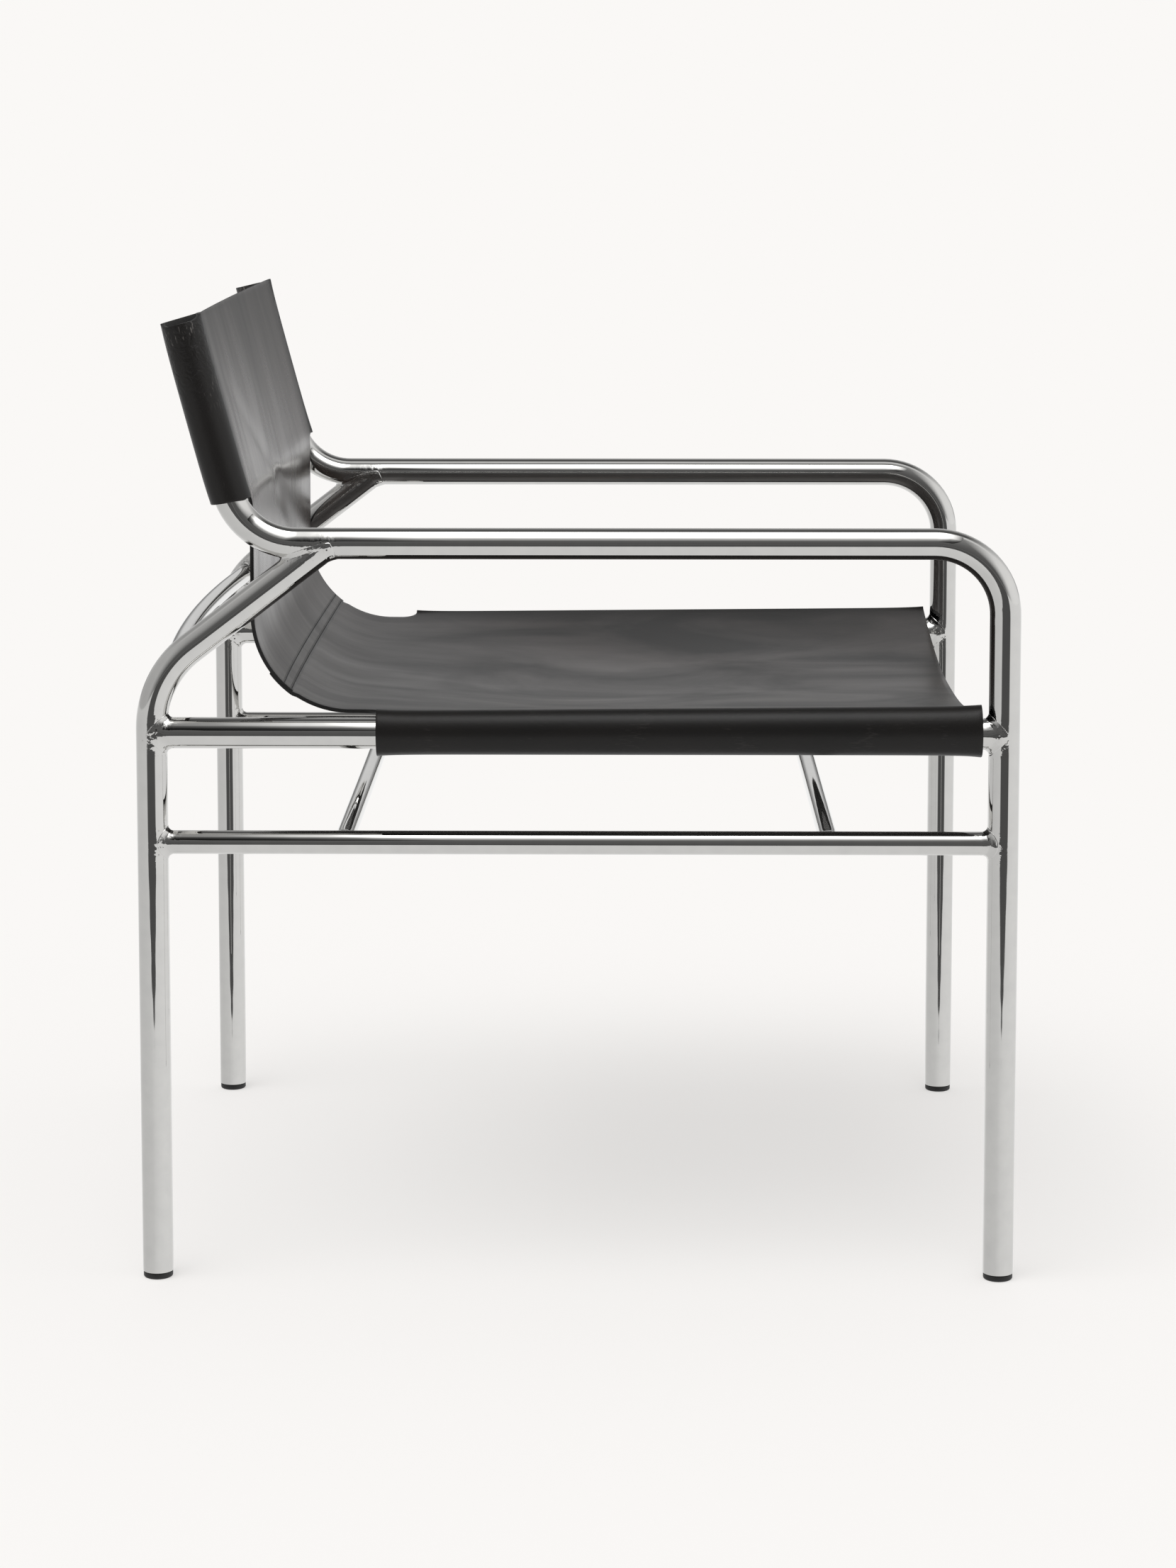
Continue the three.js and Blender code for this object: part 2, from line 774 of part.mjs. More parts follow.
const frontTubeShape = frontTube();
const rearTubeShape = rearTube();
const seatRailShape = sideRail(
  seatRailHeight, mainRadius, mainTubeWall, tubeSides, mainBeadRadius);
const lowerRailShape = sideRail(
  lowerRailHeight, lowerRailRadius, lowerRailWall, smallTubeSides, smallBeadRadius);
const footShape = foot();
const endPlugShape = endPlug();

for (const [name, side] of [["right", -1], ["left", 1]]) {
  const frame = new THREE.Group();
  frame.position.x = side * halfSpacing;
  addMesh(frame, `front_tube_${name}`, frontTubeShape, chrome);
  addMesh(frame, `rear_tube_${name}`, rearTubeShape, chrome);
  addMesh(frame, `seat_rail_${name}`, seatRailShape, chrome);
  addMesh(frame, `lower_rail_${name}`, lowerRailShape, chrome);
  addMesh(frame, `foot_rear_${name}`, footShape, blackPlastic).position.copy(place(0, 0));
  addMesh(frame, `foot_front_${name}`, footShape, blackPlastic)
    .position.copy(place(legSpacing, 0));
  const plug = addMesh(frame, `upright_plug_${name}`, endPlugShape, blackPlastic);
  plug.position.copy(uprightEnd);
  plug.rotation.x = -lean;
  chair.add(frame);
}

addMesh(chair, "cross_tube_rear", crossTube(rearCrossTubeForward), chrome);
addMesh(chair, "cross_tube_front", crossTube(legSpacing - frontCrossTubeSetback), chrome);
addMesh(chair, "back_bar", backBar(), chrome);

const sling = new THREE.Group();
addMesh(sling, "back_sling", backSling(), blackLeather);
addMesh(sling, "seat_sling", seatSling(), blackLeather);
addMesh(sling, "seam_thread_upper", seamThread(-seamRowSpacing / 2), blackThread);
addMesh(sling, "seam_thread_lower", seamThread(seamRowSpacing / 2), blackThread);
for (const [name, side] of [["right", -1], ["left", 1]]) {
  addMesh(sling, `back_hem_thread_${name}`, hemThread(side, 0, backSleeveLength), blackThread);
  const seatHem = hemThread(side, seatSleeveStart, slingProfile.total);
  addMesh(sling, `seat_hem_thread_${name}`, seatHem, blackThread);
}
chair.add(sling);

export default chair;
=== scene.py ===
"""Dresses a packed tubular steel armchair: smooth chromed tubes with filleted joints, a hung
leather sling with stitched sleeves, and the pale studio that it stands in.

All lengths are metres in the row frame: +Z up, the chair faces -Y and the floor is Z = 0.
"Forward" is counted from the rear legs, and "across" from the middle of the chair.
"""

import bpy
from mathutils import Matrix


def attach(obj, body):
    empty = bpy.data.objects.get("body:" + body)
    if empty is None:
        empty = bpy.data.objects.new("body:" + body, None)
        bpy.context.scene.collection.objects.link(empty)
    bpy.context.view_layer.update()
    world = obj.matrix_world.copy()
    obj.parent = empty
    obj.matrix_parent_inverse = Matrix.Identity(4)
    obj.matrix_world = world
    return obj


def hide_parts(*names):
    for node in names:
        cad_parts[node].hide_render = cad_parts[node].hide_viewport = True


bl_info = {
    "name": "Sling Armchair",
    "version": (1, 0, 0),
    "blender": (4, 5, 0),
    "location": "3D View > Sidebar > Armchair",
    "description": "Makes a chromed tube armchair with a leather sling, and its studio",
    "category": "Object",
}

import functools
import math
from collections import namedtuple

import bmesh
import bpy
import numpy as np

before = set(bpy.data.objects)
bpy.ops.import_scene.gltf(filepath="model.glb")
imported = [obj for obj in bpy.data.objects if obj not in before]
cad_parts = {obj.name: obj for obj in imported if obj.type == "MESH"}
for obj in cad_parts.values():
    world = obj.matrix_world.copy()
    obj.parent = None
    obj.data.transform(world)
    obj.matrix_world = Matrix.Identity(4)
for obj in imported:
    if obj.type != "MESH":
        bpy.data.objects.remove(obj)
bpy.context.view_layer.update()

BODY = "root"  # the frame's one body, as nothing on the chair moves
SIDES = (("right", -1.0), ("left", 1.0))
CROSS_MEMBERS = ("cross_tube_rear", "cross_tube_front", "back_bar")
X_AXIS = np.array([1.0, 0.0, 0.0])
Z_AXIS = np.array([0.0, 0.0, 1.0])


def linear(hex_colour):
    """An sRGB hex colour as linear RGBA."""
    parts = [int(hex_colour[i : i + 2], 16) / 255 for i in (1, 3, 5)]
    bent = [p / 12.92 if p <= 0.04045 else ((p + 0.055) / 1.055) ** 2.4 for p in parts]
    return (*bent, 1.0)


def size(name, description, default):
    return bpy.props.FloatProperty(
        name=name, description=description, default=default, min=0, precision=4, unit="LENGTH"
    )


def turn(name, description, degrees):
    return bpy.props.FloatProperty(
        name=name, description=description, default=math.radians(degrees), unit="ROTATION"
    )


def colour(name, description, hex_colour):
    default = linear(hex_colour)
    return bpy.props.FloatVectorProperty(
        name=name, description=description, default=default, min=0, max=1, size=4, subtype="COLOR"
    )


class FrameSizes(bpy.types.PropertyGroup):
    """The tubes, measured to their centre lines."""

    spacing: size("Spacing", "Between the two side frames", 0.575)
    legs: size("Legs", "From the rear legs to the front legs", 0.683)
    seat_rail: size("Seat rail", "Height of the seat rails", 0.448)
    arm_rise: size("Arm rise", "From the seat rails up to the arms", 0.153)
    knee_rise: size("Knee rise", "From the seat rails to the rear tubes' corner", 0.044)
    lower_drop: size("Lower rail drop", "From the seat rails to the lower rails", 0.089)
    brace_rise: turn("Brace rise", "Slope of the brace up to the arm", 37.5)
    lean: turn("Lean", "Lean of the uprights to the rear", 15)
    upright_forward: size("Upright forward", "Corner of the upright", 0.074)
    upright: size("Upright", "Straight length of the upright", 0.1354)
    rear_cross: size("Rear cross tube", "How far it is forward", 0.153)
    front_cross: size("Front cross tube", "How far it is behind the front legs", 0.139)
    bar_bow: size("Back bar bow", "How far the middle of the bar bows back", 0.012)
    bar_share: bpy.props.FloatProperty(
        name="Back bar place",
        description="Where it meets the rear tube, as a share of the bend",
        default=0.756,
    )
    tube: size("Tube", "Diameter of the main tube", 0.025)
    wall: size("Wall", "Wall of the tubes", 0.002)
    lower_tube: size("Lower rail tube", "Diameter of the lower rails", 0.019)
    cross_tube: size("Cross tube", "Diameter of the cross tubes and the bar", 0.016)
    front_bend: size("Front bend", "Radius of the bend over the front leg", 0.057)
    upright_bend: size("Upright bend", "Radius of the bend into the upright", 0.057)
    brace_bend: size("Brace bend", "Radius of the bend into the brace", 0.082)
    foot: size("Foot", "Height of the feet under the tubes", 0.005)
    gap: size("Gap", "Between a tube's end and its foot or plug", 0.0003)
    fillet: size("Fillet", "Reach of the weld fillet at the main joints", 0.0044)
    small_fillet: size("Small fillet", "Reach of the fillet at thin tubes", 0.004)
    lip: size("Lip", "Rounding of a tube's cut edge", 0.0005)


class SlingSizes(bpy.types.PropertyGroup):
    """The leather, and its clearances round the tubes."""

    leather: size("Leather", "Thickness of the leather", 0.003)
    over_end: size("Over end", "How far the back sleeves pass the tubes' ends", 0.006)
    over_bend: size("Over bend", "How far the back sleeves pass onto the bends", 0.0096)
    back_front: size("Back clearance", "In front of the uprights", 0.0011)
    back_rear: size("Rear clearance", "Behind the uprights", 0.0009)
    seat_setback: size("Seat setback", "From the hollow to the seat sleeves", 0.0231)
    seat_front: size("Seat gap", "From the seat sleeves to the front legs", 0.006)
    rear_rise: size("Rear rise", "Over the seat rails at the rear of a sleeve", 0.0028)
    front_rise: size("Front rise", "Over the seat rails at the front", 0.0071)
    seat_drop: size("Seat drop", "Under the seat rails", 0.0017)
    side: size("Side clearance", "Beside the tubes", 0.001)
    hem: size("Hem reach", "From the frame's middle to the hem's cut edge", 0.046)
    hem_seam: size("Hem seam", "From the hem's cut edge to where it lies flat", 0.007)
    seat_sag: size("Seat sag", "How far the middle of the seat hangs down", 0.031)
    lower_sag: size("Lower back sag", "How far the lower back hangs to the rear", 0.009)
    top_sag: size("Top sag", "How far the top edge hangs to the rear", 0.005)
    sag_run: size("Sag run-in", "Length over which the seat's sag grows", 0.19)
    hollow: size("Hollow radius", "Of the bend from back to seat", 0.075)
    fold_setback: size("Fold setback", "From the sleeves to the back's fold", 0.005)
    fold: size("Fold radius", "Of the back's fold below its sleeves", 0.075)
    free_edge: size("Free edge", "From the frame's middle to the free edges", 0.02)
    corner: size("Corner", "Rounding between the free edges and the sleeves", 0.013)
    flare: size("Flare", "How far the sleeves stand off wider at their cut ends", 0.0012)
    scroll: size("Scroll", "How much lower the back sleeves' outer sides start", 0.0035)
    sleeve_edge: size("Sleeve edge", "From the frame's middle to where the sleeves leave", 0.004)
    seam_rise: size("Seam rise", "From the seat rails up to the lap seam", 0.036)
    lap: size("Lap", "How far the two pieces lap", 0.022)
    lap_edge: size("Lap edge", "From the lower stitches to the cut edge", 0.0016)
    ramp: size("Ramp", "Length over which the seat piece dives under", 0.006)
    skived: size("Skived", "Thickness of the leather where its lap ends", 0.001)
    rows: size("Stitch rows", "Between the two rows of the seam", 0.0076)
    stitch: size("Stitch", "Length of one stitch", 0.0042)
    thread: size("Thread", "Diameter of the thread", 0.0008)
    edge_round: size("Edge rounding", "Of the leather's cut edges", 0.0005)


class Finishes(bpy.types.PropertyGroup):
    """The colours of the finishes and of the studio."""

    chrome: colour("Chrome", "Plated tubes", "#DEDDDA")
    leather: colour("Leather", "Grain side of the leather", "#151413")
    leather_worn: colour("Worn leather", "Where wax and handling lighten it", "#2E2724")
    # a painted sheen: a lighter colour that stands in for the shine of the rubbed back
    leather_painted_sheen: colour("Rubbed leather", "Where backs have rubbed it", "#4A423E")
    flesh: colour("Flesh side", "Rear of the leather", "#211F1E")
    edge: colour("Cut edge", "Burnished edges", "#171615")
    plastic: colour("Plastic", "Feet and plugs", "#161616")
    thread: colour("Thread", "Waxed thread", "#121212")
    paper: colour("Paper", "Floor and background", "#FAF8F6")


# Centre lines


def unit(vector):
    return vector / np.linalg.norm(vector, axis=-1, keepdims=True)


def place(sizes, forward, height, across=0.0):
    """A point from how far forward of the rear legs, how high and how far across it is."""
    return np.array([across, sizes.legs / 2 - forward, height])


class BentPath:
    """Straight runs joined by round bends. A corner is cut back on both sides by its bend's
    radius times the tangent of half the turn, and the arc between turns about the centre that
    lies that radius to the inside. All of it lies in one plane, and "side" is square to it."""

    def __init__(self, corners, radii=(), side=X_AXIS):
        self.side, self.starts, self.spans, self.total = side, [], [], 0.0
        self.bends = []
        origin = corners[0]
        for before, corner, after, radius in zip(corners, corners[1:], corners[2:], radii):
            arriving, leaving = unit(corner - before), unit(after - corner)
            turned = math.acos(arriving @ leaving)
            cut = radius * math.tan(turned / 2)
            inward = unit(leaving - arriving * (arriving @ leaving))
            self.add_run(origin, corner - arriving * cut)
            centre = corner - arriving * cut + inward * radius
            self.bends.append((self.total, turned * radius))
            self.add(turned * radius, self.bend(centre, -inward * radius, arriving))
            origin = corner + leaving * cut
        self.add_run(origin, corners[-1])

    def add(self, length, span):
        self.starts.append(self.total)
        self.spans.append(span)
        self.total += length

    def add_run(self, origin, end):
        along = unit(end - origin)

        def run(distance):
            return origin + distance[:, None] * along, np.tile(along, (len(distance), 1))

        self.add(float(np.linalg.norm(end - origin)), run)

    @staticmethod
    def bend(centre, spoke, along):
        radius = float(np.linalg.norm(spoke))

        def arc(distance):
            angle = (distance / radius)[:, None]
            point = centre + spoke * np.cos(angle) + along * radius * np.sin(angle)
            return point, along * np.cos(angle) - spoke / radius * np.sin(angle)

        return arc

    def sample(self, distance):
        """Points and directions at an array of distances, straight on past both ends."""
        flat = np.asarray(distance, float).ravel()
        points, tangents = np.empty((len(flat), 3)), np.empty((len(flat), 3))
        number = np.searchsorted(self.starts, flat, side="right") - 1
        number = np.clip(number, 0, len(self.spans) - 1)
        for i, span in enumerate(self.spans):
            here = number == i
            points[here], tangents[here] = span(flat[here] - self.starts[i])
        shape = (*np.shape(distance), 3)
        return points.reshape(shape), tangents.reshape(shape)


class BowedPath:
    """A parabola between two points, moved at its middle by "bow"."""

    side = Z_AXIS

    def __init__(self, start, end, bow):
        self.start, self.along, self.bow = start, end - start, bow
        self.total = float(np.linalg.norm(self.along))

    def sample(self, distance):
        share = (np.asarray(distance, float) / self.total)[..., None]
        point = self.start + self.along * share + 4 * share * (1 - share) * self.bow
        return point, unit(self.along + 4 * (1 - 2 * share) * self.bow)


def frame_paths(sizes, across):
    """The centre lines of one side frame."""
    arm = sizes.seat_rail + sizes.arm_rise
    knee = sizes.seat_rail + sizes.knee_rise
    lower = sizes.seat_rail - sizes.lower_drop
    floor = sizes.foot + sizes.gap
    leaning = np.array([0.0, math.sin(sizes.lean), math.cos(sizes.lean)])
    corner = place(sizes, sizes.upright_forward, arm, across)
    cut = sizes.upright_bend * math.tan((math.pi / 2 - sizes.lean) / 2)
    top = corner + leaning * (cut + sizes.upright)
    brace = (arm - knee) / math.tan(sizes.brace_rise)

    def rail(height):
        return BentPath([place(sizes, 0, height, across), place(sizes, sizes.legs, height, across)])

    front = [place(sizes, sizes.legs, floor, across), place(sizes, sizes.legs, arm, across)]
    rear = [place(sizes, 0, floor, across), place(sizes, 0, knee, across)]
    return {
        "front": BentPath([*front, corner, top], [sizes.front_bend, sizes.upright_bend]),
        "rear": BentPath([*rear, place(sizes, brace, arm, across)], [sizes.brace_bend]),
        "seat_rail": rail(sizes.seat_rail),
        "lower_rail": rail(lower),
    }


# Tubes

CHORD_MARKS = 420  # along a path, up to 4 mm apart
TUBE_AROUND = 72  # points round a tube
TUBE_PITCH, FEWEST_RINGS = 0.005, 8  # between a tube's rings, and of them
COPE_HALVINGS = 24
COPE_SEARCH = 5  # how many host radii before the end the search for its saddle may go
COPED_SHARE = 0.998  # of the radius: the wall starts a touch inside, so that the fillet covers it
INSIDE_SHARE = 0.9  # of the host's radius, where a coped end stops inside it
FILLET_STEPS = 11
LIP_MARKS = 5  # over each rounding of a cut end
BORE_WALLS = 4  # how many walls deep the bore is closed
BEAD_LEAST, BEAD_SWING = 0.00012, 0.00028  # how far a weld bead stands over its fillet
BEAD_WAVES = ((3, 0.3), (7, 0.3), (13, 0.25), (22, 0.15))  # round the joint, and their weights
BEAD_DRIFT = 3  # most that a wave's phase drifts across the bead, in radians
SEEDS_APART = 10  # from one tube's welds to those of the next
WELD_MARKS = 24  # points round a joint that "weld" is measured from
WELD_REACH = 0.006  # how far from its ring a weld's roughness fades


def nearest_on(path, points):
    """The spot on a path's centre line that is nearest to each point, from its projections on
    the short chords of the path."""
    marks, _ = path.sample(np.linspace(0, path.total, CHORD_MARKS))
    chords = marks[1:] - marks[:-1]
    offset = points[:, None] - marks[None, :-1]
    share = np.clip((offset * chords).sum(-1) / (chords**2).sum(-1), 0, 1)
    feet = marks[None, :-1] + share[..., None] * chords
    best = np.argmin(((points[:, None] - feet) ** 2).sum(-1), axis=1)
    return feet[np.arange(len(points)), best]


def tube_surface(path, distance, radius, angles):
    """The point at a distance and an angle lies the radius away from the centre line, turned by
    the angle from the path's side towards the square of its direction and side."""
    points, tangents = path.sample(distance)
    square = np.cross(tangents, path.side)
    spoke = np.cos(angles)[..., None] * path.side + np.sin(angles)[..., None] * square
    return points + np.asarray(radius)[..., None] * spoke, spoke, tangents


def ripple(angles, steps, seed):
    """Smooth seeded unevenness of a hand-laid weld: a sum of waves round the joint whose phases
    drift from the wall to the host, from -1 to 1."""
    dice = np.random.default_rng(seed)
    total = np.zeros((len(steps), len(angles)))
    for waves, weight in BEAD_WAVES:
        phase, drift = dice.uniform(0, 2 * np.pi), dice.uniform(-BEAD_DRIFT, BEAD_DRIFT)
        total += weight * np.sin(waves * angles[None, :] + phase + drift * steps[:, None])
    return total


def coped_end(path, radius, host, host_radius, reach, angles, at_finish, seed):
    """A tube's end that meets a host tube. Each line along the wall runs to where it is the
    host's radius away from the host's centre line, found by halving. A fillet then leaves the
    wall "reach" before that saddle and lands on the host "reach" beyond it, on a quadratic
    curve through the two and the saddle, raised by the weld's ripple. It ends inside the host."""

    def wall_at(distance_from_end):
        along = path.total - distance_from_end if at_finish else distance_from_end
        return tube_surface(path, along, radius * COPED_SHARE, angles)

    low, high = np.zeros_like(angles), np.full_like(angles, COPE_SEARCH * host_radius)
    for _ in range(COPE_HALVINGS):
        middle = (low + high) / 2
        wall, _, _ = wall_at(middle)
        away = np.linalg.norm(wall - nearest_on(host, wall), axis=1)
        low = np.where(away < host_radius, middle, low)
        high = np.where(away < host_radius, high, middle)
    saddle, spoke, tangents = wall_at(high)
    leaving = -tangents if at_finish else tangents
    start, _, _ = wall_at(high + reach)
    facing = unit(saddle - nearest_on(host, saddle))
    glide = spoke - leaving
    glide = unit(glide - (glide * facing).sum(-1, keepdims=True) * facing)
    landing = saddle + reach * glide
    centre = nearest_on(host, landing)
    landing = centre + host_radius * unit(landing - centre)

    steps = np.linspace(0, 1, FILLET_STEPS)
    s = steps[:, None, None]
    curve = (1 - s) ** 2 * start + 2 * s * (1 - s) * saddle + s**2 * landing
    raised = BEAD_LEAST + BEAD_SWING * (1 + ripple(angles, steps, seed))
    raised = raised * (4 * steps * (1 - steps))[:, None]
    curve = curve + raised[..., None] * unit(spoke + facing)
    inside = centre + INSIDE_SHARE * (landing - centre)
    rows = np.concatenate([curve, inside[None]])
    pole = nearest_on(host, saddle.mean(0)[None])[0]
    return rows, pole, high + reach


def cut_end(path, radius, wall, lip, angles, at_finish):
    """A tube's open end, as a turned profile: the lip rounds off to the flat of the wall, rounds
    again into the bore, and the bore is closed a little way in."""
    turned = np.linspace(0, np.pi / 2, LIP_MARKS)
    bore, depth = radius - wall, BORE_WALLS * wall
    back = np.concatenate([lip * (1 - np.sin(turned)), lip * (1 - np.cos(turned)), [depth]])
    wide = np.concatenate(
        [radius - lip * (1 - np.cos(turned)), bore + lip * (1 - np.sin(turned)), [bore]]
    )
    distance = path.total - back if at_finish else back
    grid = np.broadcast_to(distance[:, None], (len(back), len(angles)))
    rows, _, _ = tube_surface(path, grid, wide[:, None], angles)
    pole, _ = path.sample(np.array([path.total - depth if at_finish else depth]))
    return rows, pole[0], np.full_like(angles, lip)


def grid_faces(index):
    """The quads between neighbouring rows and columns of a grid of vertex numbers."""
    corners = index[:-1, :-1], index[:-1, 1:], index[1:, 1:], index[1:, :-1]
    return np.stack(corners, -1).reshape(-1, 4)


def closed_skin(rows, poles):
    """Points and faces of a closed skin: rings joined one to the next, and a pole at each end."""
    count, around = rows.shape[:2]
    index = np.arange(count * around).reshape(count, around)
    ring = np.concatenate([index, index[:, :1]], 1)
    points = np.concatenate([rows.reshape(-1, 3), np.array(poles)])
    first, last = count * around, count * around + 1
    fans = [np.stack([np.full(around, first), ring[0, 1:], ring[0, :-1]], -1)]
    fans += [np.stack([np.full(around, last), ring[-1, :-1], ring[-1, 1:]], -1)]
    return points, [*grid_faces(ring).tolist(), *np.concatenate(fans).tolist()]


def tube_ends(path, radius, ends, sizes, around, seed):
    """A tube's two ends, each as its rings of points, the pole that closes it, and how far from
    the path's end the plain wall begins. An end is None where the tube is cut square, or the
    host's path and radius and the fillet's reach."""
    angles = np.linspace(0, 2 * np.pi, around, endpoint=False)
    for at_finish, end in enumerate(ends):
        if end is None:
            yield cut_end(path, radius, sizes.wall, sizes.lip, angles, at_finish)
        else:
            yield coped_end(path, radius, *end, angles, at_finish, seed + at_finish)


def fitted_tube(path, radius, ends, sizes, seed):
    """A tube whose wall is carried along its path between its two ends."""
    angles = np.linspace(0, 2 * np.pi, TUBE_AROUND, endpoint=False)
    (head, head_pole, first), (tail, tail_pole, before) = tube_ends(
        path, radius, ends, sizes, TUBE_AROUND, seed
    )
    last = path.total - before
    rings = max(FEWEST_RINGS, round(path.total / TUBE_PITCH))
    share = np.linspace(0, 1, rings)[1:-1, None]
    body, _, _ = tube_surface(path, first + (last - first) * share, radius, angles)
    return closed_skin(np.concatenate([head[::-1], body, tail]), [head_pole, tail_pole])


def tube_table(sizes):
    """Every tube of the frame: its path, its radius and what its two ends meet."""
    table, cross_spots, bar_spots, on_lower, on_rear = {}, [], [], [], []
    radius, lower = sizes.tube / 2, sizes.lower_tube / 2
    lower_height = sizes.seat_rail - sizes.lower_drop
    for name, side in SIDES:
        across = side * sizes.spacing / 2
        paths = frame_paths(sizes, across)
        rear, front = paths["rear"], paths["front"]
        wide = [(rear, radius, sizes.fillet), (front, radius, sizes.fillet)]
        slim = [(rear, radius, sizes.small_fillet), (front, radius, sizes.small_fillet)]
        table[f"front_tube_{name}"] = (front, radius, (None, None))
        table[f"rear_tube_{name}"] = (rear, radius, (None, wide[1]))
        table[f"seat_rail_{name}"] = (paths["seat_rail"], radius, wide)
        table[f"lower_rail_{name}"] = (paths["lower_rail"], lower, slim)
        forward = (sizes.rear_cross, sizes.legs - sizes.front_cross)
        cross_spots.append([place(sizes, f, lower_height, across) for f in forward])
        start, length = rear.bends[0]
        bar_spots.append(rear.sample(np.array([start + length * sizes.bar_share]))[0][0])
        on_lower.append((paths["lower_rail"], lower, sizes.small_fillet))
        on_rear.append(slim[0])
    thin = sizes.cross_tube / 2
    for name, right, left in zip(CROSS_MEMBERS, *cross_spots):
        table[name] = (BentPath([right, left], side=Z_AXIS), thin, on_lower)
    bow = np.array([0.0, sizes.bar_bow, 0.0])
    table["back_bar"] = (BowedPath(*bar_spots, bow), thin, on_rear)
    return table


def weld_rings(table, sizes):
    """Points along the saddle of every joint, halfway over its fillet."""
    rings = []
    for path, radius, ends in table.values():
        for end, made in zip(ends, tube_ends(path, radius, ends, sizes, WELD_MARKS, 0)):
            if end is not None:
                rings.append(made[0][FILLET_STEPS // 2])
    return np.concatenate(rings)


def make_tubes(sizes, crossing):
    """Makes the tubes that cross from side to side, or else those of the side frames, and marks
    how close they are to a weld."""
    table = tube_table(sizes)
    rings = weld_rings(table, sizes)
    chrome = polished_chrome()
    for number, (name, (path, radius, ends)) in enumerate(table.items()):
        if (name in CROSS_MEMBERS) == crossing:
            points, faces = fitted_tube(path, radius, ends, sizes, SEEDS_APART * number)
            piece = new_piece(f"chrome_{name}", points, faces, [chrome], name)
            near_welds(piece, rings)


# Meshes and pieces


def new_piece(name, points, faces, materials, replaced, closed=True):
    """Links a mesh object, shades it smooth and lets it ride on the chair's one body."""
    mesh = bpy.data.meshes.new(name)
    mesh.from_pydata(points.tolist(), [], faces)
    for material in materials:
        mesh.materials.append(material)
    if closed:
        shell = bmesh.new()
        shell.from_mesh(mesh)
        bmesh.ops.recalc_face_normals(shell, faces=shell.faces)
        shell.to_mesh(mesh)
        shell.free()
    mesh.polygons.foreach_set("use_smooth", np.ones(len(mesh.polygons), bool))
    mesh.update()
    if mesh.validate():
        raise RuntimeError(f"{name} has faces that Blender had to mend")
    piece = bpy.data.objects.new(name, mesh)
    bpy.context.scene.collection.objects.link(piece)
    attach(piece, BODY)
    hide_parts(replaced)
    return piece


def near_welds(piece, rings):
    """Stores how close each vertex is to a weld, as a bell curve of its distance to the nearest
    point of a weld's ring, from 0 far away to 1 at it."""
    count = len(piece.data.vertices)
    spots = np.empty(count * 3, np.float32)
    piece.data.vertices.foreach_get("co", spots)
    apart = spots.reshape(-1, 1, 3) - rings[None].astype(np.float32)
    nearest = np.sqrt((apart**2).sum(-1).min(1))
    layer = piece.data.attributes.new("weld", "FLOAT", "POINT")
    layer.data.foreach_set("value", np.exp(-((nearest / WELD_REACH) ** 2)).astype(np.float32))


def lathe(profile, origin, axis, around=64):
    """A turned solid: the profile's radii and heights carried round an axis, from pole to pole."""
    radii, heights = np.array(profile).T
    angles = np.linspace(0, 2 * np.pi, around, endpoint=False)
    square = unit(np.cross(axis, X_AXIS))
    spoke = np.cos(angles)[:, None] * X_AXIS + np.sin(angles)[:, None] * square
    rows = origin + heights[1:-1, None, None] * axis + radii[1:-1, None, None] * spoke
    poles = [origin + heights[0] * axis, origin + heights[-1] * axis]
    return closed_skin(rows, poles)


def rounded(radius, height, edge, start_degrees, steps=6):
    """A quarter of a circle about a corner's centre, as radii and heights."""
    angles = np.radians(start_degrees) + np.linspace(0, np.pi / 2, steps)
    return list(zip(radius + edge * np.cos(angles), height + edge * np.sin(angles)))


# The hung leather

COLUMNS = 91  # across the sheet
ROW_PITCH = 0.0045  # between the sheet's rows
ROW_CLEAR = 0.0008  # an even row closer than this to a set one is left out
SAME_SPOT = 1e-6  # spots no further apart than this count as one
FLAP_GAP = 0.0003  # between a hem's flap and the sheet
LAP_GAP = 0.0001  # between the two pieces in their lap
FLARE_RUN = 0.016  # how soon a sleeve's flare falls off
SCROLL_RUN = 0.014  # how soon the lowered start of a sleeve's outer side evens out
CORNER_MARKS, RAMP_MARKS = 9, 5  # extra rows over a round corner and down the ramp
TOP_MARKS, ROUND_MARKS, UNDER_MARKS, HEM_MARKS = 9, 37, 20, 4  # along a sleeve's section
UNDER_SHARES = (0.36, 0.6)  # of the hem's reach: where the curve back under the tube turns
SOFT_EDGE_ANGLE = math.radians(50)

# The crease: its depth, then its place, slant and width as shares of the way to the seam, and
# the square of the share over which it fades out
CREASE_DEPTH = 0.0018
CREASE_PLACE, CREASE_SLANT, CREASE_WIDTH, CREASE_FADE = 0.5, 0.42, 0.045, 0.11
# The fans: their height, how far below the seam they are and how far they reach, and in radians
# their turn up to the frame, their bend, the bend's own turn and where they start
FAN_HEIGHT, FAN_BELOW, FAN_LENGTH = 0.0005, 0.035, 0.035
FAN_TURN, FAN_BEND, BEND_TURN, FAN_START = 11, 2.5, 4, 0.4
# The waves: their height, the length over which they grow, and the radians that each of the two
# sines turns up to the frame and along each metre
WAVE_HEIGHT, WAVE_RUN, WAVES = 0.0011, 0.12, ((5.1, 9), (2.2, 17))

THREAD_AROUND = 8  # points round a thread
PROBE = 0.001  # a step off the leather, to find which way is out
THREAD_RISE, THREAD_DIP = 1.5, 1.25  # of a stitch, in thicknesses of the thread
SEAM_MARKS, HEM_ROW_MARKS = 1100, 900  # along a row of stitches

# One cut of leather: which part it is, its rows' distances down the profile, how far each is
# beyond the sleeve's cut, the sleeve's depth and the sheet's lift as functions of distance, its
# scroll, where it is whole and where it is skived thinnest, how it is held, and the tubes and
# threads that go with it.
Cut = namedtuple("Cut", "part rows beyond depth lift scroll whole thin held tubes threads")


